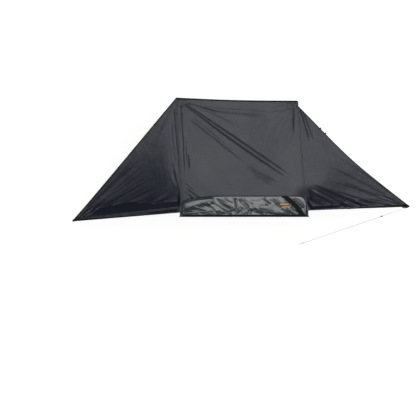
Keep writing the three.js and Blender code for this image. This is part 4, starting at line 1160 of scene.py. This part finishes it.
# Folds of the cover, in metres along the rail and away from it: from, to, height, width, sharpness, bow
COVER_FOLDS = (
    ((0.100, 0.240), (0.620, 0.260), 0.0060, 0.070, 2.0, 0.0),
    ((-0.520, 0.230), (0.020, 0.230), 0.0050, 0.080, 2.0, 0.0),
    ((-0.780, 0.230), (-0.55, 0.140), -0.0110, 0.020, 1.1, 0.0),
    ((-0.900, 0.190), (-0.56, 0.085), 0.0120, 0.013, 1.3, 0.0),
    ((-0.990, 0.120), (-0.72, 0.062), 0.0080, 0.012, 1.3, 0.0),
    ((-0.960, 0.085), (-0.66, 0.045), -0.0080, 0.012, 1.1, 0.0),
    ((-0.640, 0.260), (-0.46, 0.085), 0.0140, 0.016, 1.3, 0.0),
    ((-0.615, 0.210), (-0.48, 0.060), -0.0120, 0.012, 1.0, 0.0),
    ((-0.590, 0.310), (-0.33, 0.130), 0.0140, 0.017, 1.3, -0.010),
    ((-0.540, 0.245), (-0.32, 0.095), -0.0140, 0.014, 1.0, 0.0),
    ((-0.500, 0.335), (-0.18, 0.170), 0.0120, 0.018, 1.3, -0.014),
    ((-0.460, 0.285), (-0.24, 0.125), -0.0130, 0.014, 1.0, -0.008),
    ((-0.360, 0.345), (-0.19, 0.240), -0.0080, 0.012, 1.1, 0.0),
    ((-0.420, 0.095), (-0.20, 0.060), 0.0110, 0.014, 1.3, 0.0),
    ((-0.340, 0.070), (-0.15, 0.110), -0.0110, 0.014, 1.0, 0.0),
    ((-0.200, 0.355), (-0.140, 0.045), -0.0150, 0.013, 1.0, 0.012),
    ((-0.165, 0.355), (-0.105, 0.045), 0.0140, 0.017, 1.4, 0.012),
    ((-0.110, 0.345), (0.085, 0.165), -0.0080, 0.0090, 1.0, 0.0),
    ((-0.080, 0.345), (0.110, 0.185), 0.0070, 0.010, 1.4, 0.0),
    ((-0.100, 0.300), (0.080, 0.125), 0.0070, 0.010, 1.4, 0.0),
    ((-0.060, 0.275), (0.090, 0.140), -0.0110, 0.0090, 1.0, 0.0),
    ((-0.020, 0.340), (0.160, 0.205), -0.0060, 0.0090, 1.0, 0.0),
    ((-0.130, 0.165), (0.020, 0.055), 0.0080, 0.012, 1.3, 0.0),
    ((-0.080, 0.125), (0.040, 0.045), -0.0080, 0.011, 1.0, 0.0),
    ((0.345, 0.345), (0.470, 0.215), -0.0120, 0.013, 1.0, 0.0),
    ((0.300, 0.340), (0.430, 0.205), 0.0070, 0.015, 1.4, 0.0),
    ((0.490, 0.335), (0.650, 0.160), 0.0070, 0.0090, 1.4, 0.0),
    ((0.520, 0.335), (0.675, 0.165), -0.0080, 0.0080, 1.0, 0.0),
    ((0.455, 0.330), (0.600, 0.160), -0.0080, 0.0080, 1.0, 0.0),
    ((0.555, 0.335), (0.690, 0.190), 0.0050, 0.0090, 1.4, 0.0),
    ((0.160, 0.175), (0.420, 0.060), 0.0120, 0.014, 1.3, 0.0),
    ((0.240, 0.160), (0.080, 0.050), -0.0150, 0.014, 1.0, 0.0),
    ((0.280, 0.110), (0.640, 0.062), 0.0120, 0.014, 1.3, 0.008),
    ((0.230, 0.140), (0.540, 0.092), -0.0120, 0.012, 1.0, 0.0),
    ((0.330, 0.075), (0.560, 0.042), -0.0110, 0.011, 1.0, 0.0),
    ((0.550, 0.095), (0.810, 0.050), 0.0100, 0.013, 1.3, 0.0),
    ((0.640, 0.145), (0.830, 0.045), -0.0130, 0.011, 1.0, 0.0),
    ((0.730, 0.165), (0.890, 0.055), 0.0120, 0.012, 1.3, 0.0),
    ((0.800, 0.175), (0.940, 0.065), -0.0110, 0.010, 1.0, 0.0),
    ((0.680, 0.310), (0.870, 0.180), 0.0060, 0.013, 1.4, 0.0),
    ((0.860, 0.350), (1.060, 0.160), 0.0120, 0.024, 1.6, 0.010),
    ((0.830, 0.330), (1.030, 0.120), -0.0120, 0.015, 1.1, 0.010),
)
# Broad laps of the cover: from, to, height, and width of the slope before and after the line
COVER_LAPS = (
    ((-1.160, 0.113), (-0.490, 0.345), 0.027, 0.085, 0.200),
    ((-1.120, 0.062), (-0.500, 0.120), -0.026, 0.035, 0.130),
    ((-0.560, 0.020), (0.020, 0.110), -0.010, 0.060, 0.080),
    ((0.060, 0.110), (0.320, 0.040), -0.014, 0.070, 0.060),
)
# Middle of the band over the right end, whose dark is partly painted shadow of the fold there
COVER_BAND = ((0.665, 0.362), (0.735, 0.338), (0.800, 0.290), (0.860, 0.240), (0.915, 0.180),
              (0.965, 0.115), (1.005, 0.060), (1.030, 0.018))


class Cover:
    """The outline and the surface of the cover's flap"""

    def __init__(self, values, seat):
        self.values = values
        self.half = values.length / 2
        self.base = seat + 0.00125 + values.thickness / 2 + 0.0006

    def far(self, x):
        """The far edge, with its two corners cut in long curves"""
        values = self.values
        edge = np.full(len(x), values.depth)
        for distance, (along, across) in ((x + self.half, values.left_slant), (self.half - x, values.right_slant)):
            turn = 1 - np.sqrt(np.clip(distance / along, 0.0, 1.0))
            edge -= across * turn * turn
        return edge

    def near(self, x):
        """The hinge edge, with its left corner rounded"""
        corner = self.values.corner
        inside = np.clip(corner - (x + self.half), 0.0, corner)
        return self.values.back + corner - np.sqrt(corner * corner - inside * inside)

    def plan(self, along, out):
        x = self.half * (0.6 * (along * 2 - 1) - 0.4 * np.cos(np.pi * along))
        return np.column_stack((x, lerp(self.near(x), self.far(x), out)))

    def height(self, point):
        values = self.values
        x, y = point[:, 0], point[:, 1]
        from_edge = np.minimum(y - self.near(x), self.far(x) - y)
        from_edge = np.minimum(from_edge, self.half - np.abs(x))
        inner = ramp(from_edge, 0.0, 0.05)
        height = values.puff * ramp(from_edge, 0.0, 0.12) + 0.003 * ramp(from_edge, 0.0, 0.012)
        folds = np.zeros(len(x))
        for start, end, high, width, sharp, bow in COVER_FOLDS:
            line = crease(point, np.array(start), np.array(end), width, sharp, bow, (0.15, 0.15))
            folds += high * line
        folds *= values.crumple / 0.011
        for start, end, high, before, after in COVER_LAPS:
            folds += high * lap(point, np.array(start), np.array(end), before, after)
        creases = 0.0012 * rumple(point * np.array((1.0, 1.5)), 0.075, 23.0, 2)
        sharp = 0.0030 * (0.5 - np.abs(rumple(point, 0.16, 29.0, 1)))
        scallop = np.cos(x * math.tau / 0.115 + 1.7 * rumple(point * np.array((1.0, 0.0)), 0.3, 31.0))
        gathers = 0.0035 * scallop * ramp(y, 0.11, 0.025)
        height += (folds + creases + sharp + gathers - 0.03 * (y - 0.18)) * inner
        middle_height, span = 0.0125, 0.0200
        return self.base + 0.0115 + span * np.tanh((height - middle_height) / span)

    def surface(self, along, out):
        point = self.plan(along, out)
        return np.column_stack((point, self.height(point)))

    def edge(self, steps):
        """The whole outline, once round, with its height"""
        share = np.linspace(0.0, 1.0, steps)
        ends = np.linspace(0.0, 1.0, steps // 6)[1:-1]
        far = self.plan(share, share * 0 + 1)
        near = self.plan(share, share * 0) + np.array((0.0, 0.0078))
        right = self.plan(ends * 0 + 1, 1 - ends)
        left = self.plan(ends * 0, ends)
        point = np.concatenate((far, right, near[::-1], left))
        return np.column_stack((point, self.height(point)))


def on_cover(name, cover, across, along, cells, lift, material, thickness=0.0016):
    """A piece sewn on the cover, from plan points given by a function of two shares"""
    columns, rows = cells
    mesh, x_share, y_share = grid_mesh(name, columns, rows)
    point = across(x_share, y_share)
    points = np.column_stack((point, cover.height(point) + lift))
    place_vertices(mesh, points)
    face_up(mesh)
    lay_uv(mesh, np.column_stack((x_share, y_share * along)))
    return thicken(finished(name, mesh, material, "cover"), thickness)


class AWNING_OT_cover(bpy.types.Operator):
    """Crumpled flap of coated sheet, with its binding, hinge band, end band, zip and bare patch. The dark of the
    hinge band and the end band is partly painted shadow.
    """

    bl_idname = "awning.cover"
    bl_label = "Cover"

    def execute(self, context):
        values = context.scene.awning_cover
        cover = Cover(values, Canopy(context.scene.awning_canopy).seat)
        vinyl = vinyl_material(values)
        binding = bpy.data.materials["binding"]
        mesh, along, out = grid_mesh("cover_sheet", 480, 100)
        points = cover.surface(along, out)
        place_vertices(mesh, points)
        face_up(mesh)
        lay_uv(mesh, points[:, :2])
        sheet = thicken(finished("cover_sheet", mesh, vinyl, "cover"), values.thickness)
        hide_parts("cover_flap")
        # The hinge band and the end band are dark binding whose dark partly stands for painted shadow
        pieces = [self.bind(cover, binding), self.hinge_band_and_shadow(cover, binding), self.end_band_and_fold_shadow(cover, binding),
                  *self.patch(cover, values)]
        return {"FINISHED"}

    def bind(self, cover, binding):
        path = cover.edge(420)
        path[:, 2] += 0.0004
        path = np.concatenate((path, path[:1]))
        ahead = np.gradient(path, axis=0)
        ahead[0] = ahead[-1] = path[1] - path[-2]
        ahead /= np.linalg.norm(ahead, axis=1)[:, None]
        sides = np.cross(np.array(UP), ahead)
        sides /= np.linalg.norm(sides, axis=1)[:, None]
        outline = [(out * 0.0075, up * 0.0026) for out, up in round_outline(1.0, 10)]
        mesh = swept("cover_binding", outline, path, sides, np.cross(ahead, sides), closed=True)
        return finished("cover_binding", mesh, binding, "cover")

    def hinge_band_and_shadow(self, cover, binding):
        """The folded double edge that slides into the rail, in dark binding. It is drawn wide, so its dark is
        partly painted shadow along the cover's near edge.
        """
        def across(x_share, y_share):
            point = cover.plan(y_share, y_share * 0)
            point[:, 1] += 0.002 + x_share * 0.034
            return point
        return on_cover("cover_hinge_band", cover, across, cover.values.length, (4, 300), 0.0012, binding)

    def end_band_and_fold_shadow(self, cover, binding):
        # A curved dark band across the right end: partly a black zip flap, partly painted shadow of the fold the
        # sheet makes there
        knots = np.array(COVER_BAND)
        reach = np.concatenate(([0.0], np.cumsum(np.linalg.norm(np.diff(knots, axis=0), axis=1))))

        def across(x_share, y_share):
            spots = y_share * reach[-1]
            middle_line = np.column_stack([np.interp(spots, reach, knots[:, axis]) for axis in (0, 1)])
            ahead = np.column_stack([np.interp(np.clip(spots + 0.03, 0, reach[-1]), reach, knots[:, axis])
                                     - np.interp(np.clip(spots - 0.03, 0, reach[-1]), reach, knots[:, axis])
                                     for axis in (0, 1)])
            ahead /= np.linalg.norm(ahead, axis=1)[:, None]
            square = np.column_stack((-ahead[:, 1], ahead[:, 0]))
            width = lerp(0.045, 0.088, ramp(y_share, 0.0, 0.3))
            point = middle_line + square * ((x_share - 0.5) * width)[:, None]
            x = np.clip(point[:, 0], -cover.half + 0.004, cover.half - 0.004)
            y = np.clip(point[:, 1], cover.near(x) + 0.004, cover.far(x) - 0.004)
            return np.column_stack((x, y))
        return on_cover("cover_end_band", cover, across, reach[-1], (16, 110), 0.0013, binding)

    def patch(self, cover, values):
        """A bare patch on its dark border"""
        made = []
        middle_point = np.array(values.patch_place)
        size = np.array(values.patch_size)
        border = plastic_material("patch_border", (0.012, 0.014, 0.020), 0.5, 300.0)
        colour = tape_material("patch", values.patch_shade, (0.45, 0.16, 0.05), 0.55, 0.4)
        for name, scale, lift, material in (
            ("cover_patch_border", np.array((1.0, 1.0)), 0.0013, border),
            ("cover_patch", np.array((0.9, 0.56)), 0.0026, colour),
        ):
            def across(x_share, y_share, scale=scale):
                offset = np.column_stack((y_share - 0.5, x_share - 0.5)) * size * scale
                return middle_point + offset
            made.append(on_cover(name, cover, across, size[0], (10, 30), lift, material))
        return made


def ring_path(points, steps):
    """A smooth closed path through points"""
    knots = np.array([*points, points[0]], float)
    reach = np.concatenate(([0.0], np.cumsum(np.linalg.norm(np.diff(knots, axis=0), axis=1))))
    spots = np.linspace(0.0, reach[-1], steps)
    return np.column_stack([np.interp(spots, reach, knots[:, axis]) for axis in range(knots.shape[1])])


class AWNING_OT_webbing(bpy.types.Operator):
    """Straps that tie the cloth to its arms, boots on the end arms' tips, and loops on the right hem"""

    bl_idname = "awning.webbing"
    bl_label = "Webbing"

    def execute(self, context):
        values = context.scene.awning_canopy
        self.binding = bpy.data.materials["binding"]
        for arm in ARMS.values():
            for number, along in enumerate((0.42, 0.80, 1.36)):
                self.strap(f"{arm.name}_strap_{number + 1}", arm, along)
        self.boot("left_end", 0.0175, -1)
        self.boot("right_end", 0.030, 1)
        plan, surface = Canopy(values).side("right")
        loops = [self.loop(f"canopy_right_loop_{number + 1}", surface, across)
                 for number, across in enumerate((0.206, 0.252))]
        squash_with_arms(loops)
        return {"FINISHED"}

    def strap(self, name, arm, along):
        """A band of webbing round an arm's tube"""
        half, tall, round_off, gap = ARM_WIDTH / 2, ARM_HEIGHT / 2, 0.003, 0.0008
        corners = []
        for x, z, turn in ((1, 1, 0.0), (-1, 1, 0.25), (-1, -1, 0.5), (1, -1, 0.75)):
            for step in np.linspace(0.0, 0.25, 5):
                angle = (turn + step) * math.tau
                corners.append((x * (half - round_off) + (round_off + gap) * math.cos(angle),
                                z * (tall - round_off) + (round_off + gap) * math.sin(angle)))
        loop = ring_path(corners, 61)
        path = np.array([arm.point(along, across, up) for across, up in loop])
        ahead = np.gradient(path, axis=0)
        ahead /= np.linalg.norm(ahead, axis=1)[:, None]
        sides = np.tile(np.array(arm.way), (len(path), 1))
        ups = np.cross(ahead, sides)
        outline = [(-0.0125, -0.0005), (0.0125, -0.0005), (0.0125, 0.0005), (-0.0125, 0.0005)]
        mesh = swept(name, outline, path, sides, ups, closed=True)
        return finished(name, mesh, self.binding, f"{arm.name}_arm")

    def boot(self, name, outer, inward):
        """A sewn boot over an end arm's tip and the cloth's corner, that far past the arm's outer side"""
        arm = ARMS[name]
        mesh, around, along_share = grid_mesh(f"{name}_boot", 28, 24)
        stop = arm.reach - 0.027
        along = lerp(stop - 0.105, stop, along_share)
        inner = np.clip(0.004 + 0.85 * (arm.reach - 0.010 - along), 0.0175, 0.040)
        top = ARM_HEIGHT / 2 + 0.0048
        across, up = np.empty(len(around)), np.empty(len(around))
        for index, (share, width) in enumerate(zip(around, inner)):
            knots = np.array(((-outer, top - 0.024), (-outer, top - 0.004), (0.0015 - outer, top - 0.0012),
                              (0.005 - outer, top), (width - 0.003, top), (width, top - 0.0006)))
            reach = np.concatenate(([0.0], np.cumsum(np.linalg.norm(np.diff(knots, axis=0), axis=1))))
            across[index] = np.interp(share * reach[-1], reach, knots[:, 0])
            up[index] = np.interp(share * reach[-1], reach, knots[:, 1])
        points = np.array([arm.point(a, b * inward, c) for a, b, c in zip(along, across, up)])
        place_vertices(mesh, points)
        face_up(mesh)
        lay_uv(mesh, np.column_stack((along_share, around * 0.08)))
        return thicken(finished(f"{name}_boot", mesh, self.binding, f"{name}_arm"), 0.0014)

    def loop(self, name, surface, across):
        """A loop of webbing sewn under the right panel's hem"""
        share = np.array((across - 0.004, across, across + 0.004))
        hem = surface(share, np.ones(3))
        ahead = (hem[2] - hem[0]) / np.linalg.norm(hem[2] - hem[0])
        outward = np.cross(ahead, np.array(UP))
        inside = surface(np.array((across,)), np.array((0.97,)))[0]
        outward *= -math.copysign(1.0, float(np.dot(outward, inside - hem[1])))
        shape = ((-0.020, -0.0035), (-0.004, -0.0035), (0.006, -0.0055), (0.014, -0.0060), (0.0185, -0.0035),
                 (0.0195, 0.0), (0.0185, 0.0035), (0.014, 0.0060), (0.006, 0.0055), (-0.004, 0.0040),
                 (-0.020, 0.0040))
        path = np.array([hem[1] + outward * out + np.array(UP) * up for out, up in shape])
        steps = np.gradient(path, axis=0)
        steps /= np.linalg.norm(steps, axis=1)[:, None]
        sides = np.tile(ahead, (len(path), 1))
        outline = [(-0.0115, -0.0008), (0.0115, -0.0008), (0.0115, 0.0008), (-0.0115, 0.0008)]
        mesh = swept(name, outline, path, sides, np.cross(steps, sides))
        return finished(name, mesh, self.binding, "right_mid_arm")


class AWNING_OT_beads(bpy.types.Operator):
    """Beads that hold the cloth and the cover in the rail's two grooves"""

    bl_idname = "awning.beads"
    bl_label = "Beads"

    def execute(self, context):
        canopy = Canopy(context.scene.awning_canopy)
        material = bpy.data.materials["binding"]
        low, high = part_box("mounting_rail")
        for name, back, top in (("canopy_bead", 0.022, canopy.seat - 0.0014), ("cover_bead", 0.008, 0.0480)):
            path = np.array([(x, back, 0.040) for x in np.linspace(low.x + 0.002, high.x - 0.002, 40)])
            turns = np.linspace(math.radians(102), math.radians(438), 15)
            outline = [(0.0030 * math.cos(turn), 0.0030 * math.sin(turn)) for turn in turns]
            outline += [(0.0006, top - 0.040), (-0.0006, top - 0.040)]
            sides, ups = frames_along(path)
            finished(name, swept(name, outline, path, sides, ups), material, "rail")
        return {"FINISHED"}


class AWNING_OT_fasteners(bpy.types.Operator):
    """Bolts of the hub flanges, screws of the end caps and rivets of the arms"""

    bl_idname = "awning.fasteners"
    bl_label = "Fasteners"

    def execute(self, context):
        zinc = bpy.data.materials["zinc"]
        silver = bpy.data.materials["silver"]
        rail_low, rail_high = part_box("mounting_rail")
        for side, way in (("left", -1), ("right", 1)):
            heights = (-0.066,) if side == "left" else (-0.066, 0.034)
            bm = bmesh.new()
            for x in (1.0470, 1.1207):
                for z in heights:
                    self.bolt(bm, Matrix.Translation((way * x, 0.0363, z)) @ Matrix.Rotation(-math.pi / 2, 4, "X"))
            finished(f"{side}_hub_bolts", mesh_of(f"{side}_hub_bolts", bm), zinc, "rail")
            bm = bmesh.new()
            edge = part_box(f"rail_cap_{side}")[0 if way < 0 else 1].x
            for z in (0.028, -0.060):
                place = Matrix.Translation((edge, 0.015, z)) @ Matrix.Rotation(way * math.pi / 2, 4, "Y")
                self.dome(bm, place, 0.0042, 0.0016)
            finished(f"{side}_cap_screws", mesh_of(f"{side}_cap_screws", bm), zinc, "rail")
        for arm in ARMS.values():
            bm = bmesh.new()
            tube = [(vertex.co - arm.pivot).dot(arm.way)
                    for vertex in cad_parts[f"{arm.name}_arm"].data.vertices]
            for along in (min(tube) + 0.012, min(tube) + 0.026, max(tube) - 0.026, max(tube) - 0.012):
                for side in (1, -1):
                    place = arm.matrix(along, side * (ARM_WIDTH / 2 - 0.0001), 0.0)
                    self.dome(bm, place @ Matrix.Rotation(-side * math.pi / 2, 4, "X"), 0.0032, 0.0013)
            name = f"{arm.name}_rivets"
            finished(name, mesh_of(name, bm), silver, f"{arm.name}_arm")
        return {"FINISHED"}

    def bolt(self, bm, place):
        """A washer and a hexagonal head with bevelled edges, standing up from its place"""
        bmesh.ops.create_cone(bm, cap_ends=True, segments=24, radius1=0.0085, radius2=0.0085, depth=0.0014,
                              matrix=place @ Matrix.Translation((0, 0, 0.0008)))
        head = bmesh.ops.create_cone(bm, cap_ends=True, segments=6, radius1=0.0068, radius2=0.0068,
                                     depth=0.0050, matrix=place @ Matrix.Translation((0, 0, 0.0041)))
        edges = {edge for vertex in head["verts"] for edge in vertex.link_edges}
        bmesh.ops.bevel(bm, geom=list(edges), offset=0.0006, affect="EDGES", segments=2, profile=0.5,
                        material=-1)

    def dome(self, bm, place, radius, height):
        """A low round head"""
        made = bmesh.ops.create_uvsphere(bm, u_segments=16, v_segments=8, radius=radius)
        flat = Matrix.Diagonal((1.0, 1.0, height / radius, 1.0))
        bmesh.ops.transform(bm, matrix=place @ flat, verts=made["verts"])


class AWNING_OT_zip(bpy.types.Operator):
    """Half of the cover's zip, along its far edge"""

    bl_idname = "awning.zip"
    bl_label = "Zip"

    def execute(self, context):
        cover = Cover(context.scene.awning_cover, Canopy(context.scene.awning_canopy).seat)
        pitch, reach = 0.0056, (-0.74, 0.94)
        spots = np.arange(reach[0], reach[1], pitch)
        path = np.column_stack((spots, cover.far(spots)))
        height = cover.height(path)
        bm = bmesh.new()
        for (x, y), z in zip(path, height):
            slope = float(cover.far(np.array((x + 0.002,)))[0] - cover.far(np.array((x - 0.002,)))[0]) / 0.004
            turn = math.atan(slope)
            middle_point = Vector((x - math.sin(turn) * 0.0085, y + math.cos(turn) * 0.0085, z))
            place = Matrix.Translation(middle_point) @ Matrix.Rotation(turn, 4, "Z")
            bmesh.ops.create_cube(bm, size=1.0, matrix=place @ Matrix.Diagonal((0.0030, 0.0042, 0.0018, 1.0)))
        mesh = mesh_of("cover_zip", bm)
        piece = finished("cover_zip", mesh, bpy.data.materials["moulded"], "cover")
        mesh.shade_flat()
        bevel = piece.modifiers.new("Edges", "BEVEL")
        bevel.width = 0.0003
        bevel.segments = 1
        return {"FINISHED"}


class AWNING_PT_panel(bpy.types.Panel):
    """Lists the steps that build the awning"""

    bl_idname = "AWNING_PT_panel"
    bl_label = "Side awning"
    bl_space_type = "VIEW_3D"
    bl_region_type = "UI"
    bl_category = "Awning"

    def draw(self, context):
        for step in STEPS:
            self.layout.operator(step.bl_idname)
        for group_name in VALUES:
            values = getattr(context.scene, group_name)
            box = self.layout.box()
            for name in values.__annotations__:
                box.prop(values, name)


VALUES = {
    "awning_stage": StageValues,
    "awning_canopy": CanopyValues,
    "awning_cover": CoverValues,
    "awning_guy": GuyValues,
}
STEPS = (
    AWNING_OT_stage,
    AWNING_OT_guy_rope,
    AWNING_OT_finishes,
    AWNING_OT_canopy,
    AWNING_OT_cover,
    AWNING_OT_zip,
    AWNING_OT_webbing,
    AWNING_OT_beads,
    AWNING_OT_fasteners,
)


def register():
    for values in VALUES.values():
        bpy.utils.register_class(values)
    for step in (*STEPS, AWNING_PT_panel):
        bpy.utils.register_class(step)
    for name, values in VALUES.items():
        setattr(bpy.types.Scene, name, PointerProperty(type=values))


def unregister():
    for name in VALUES:
        delattr(bpy.types.Scene, name)
    for step in (AWNING_PT_panel, *reversed(STEPS)):
        bpy.utils.unregister_class(step)
    for values in reversed(tuple(VALUES.values())):
        bpy.utils.unregister_class(values)


def main():
    register()
    for build in (build_weave_group, build_dust_group, build_scuff_group, build_stitch_group):
        build()
    for step in STEPS:
        area, name = step.bl_idname.split(".")
        getattr(getattr(bpy.ops, area), name)()


if __name__ == "__main__":
    main()
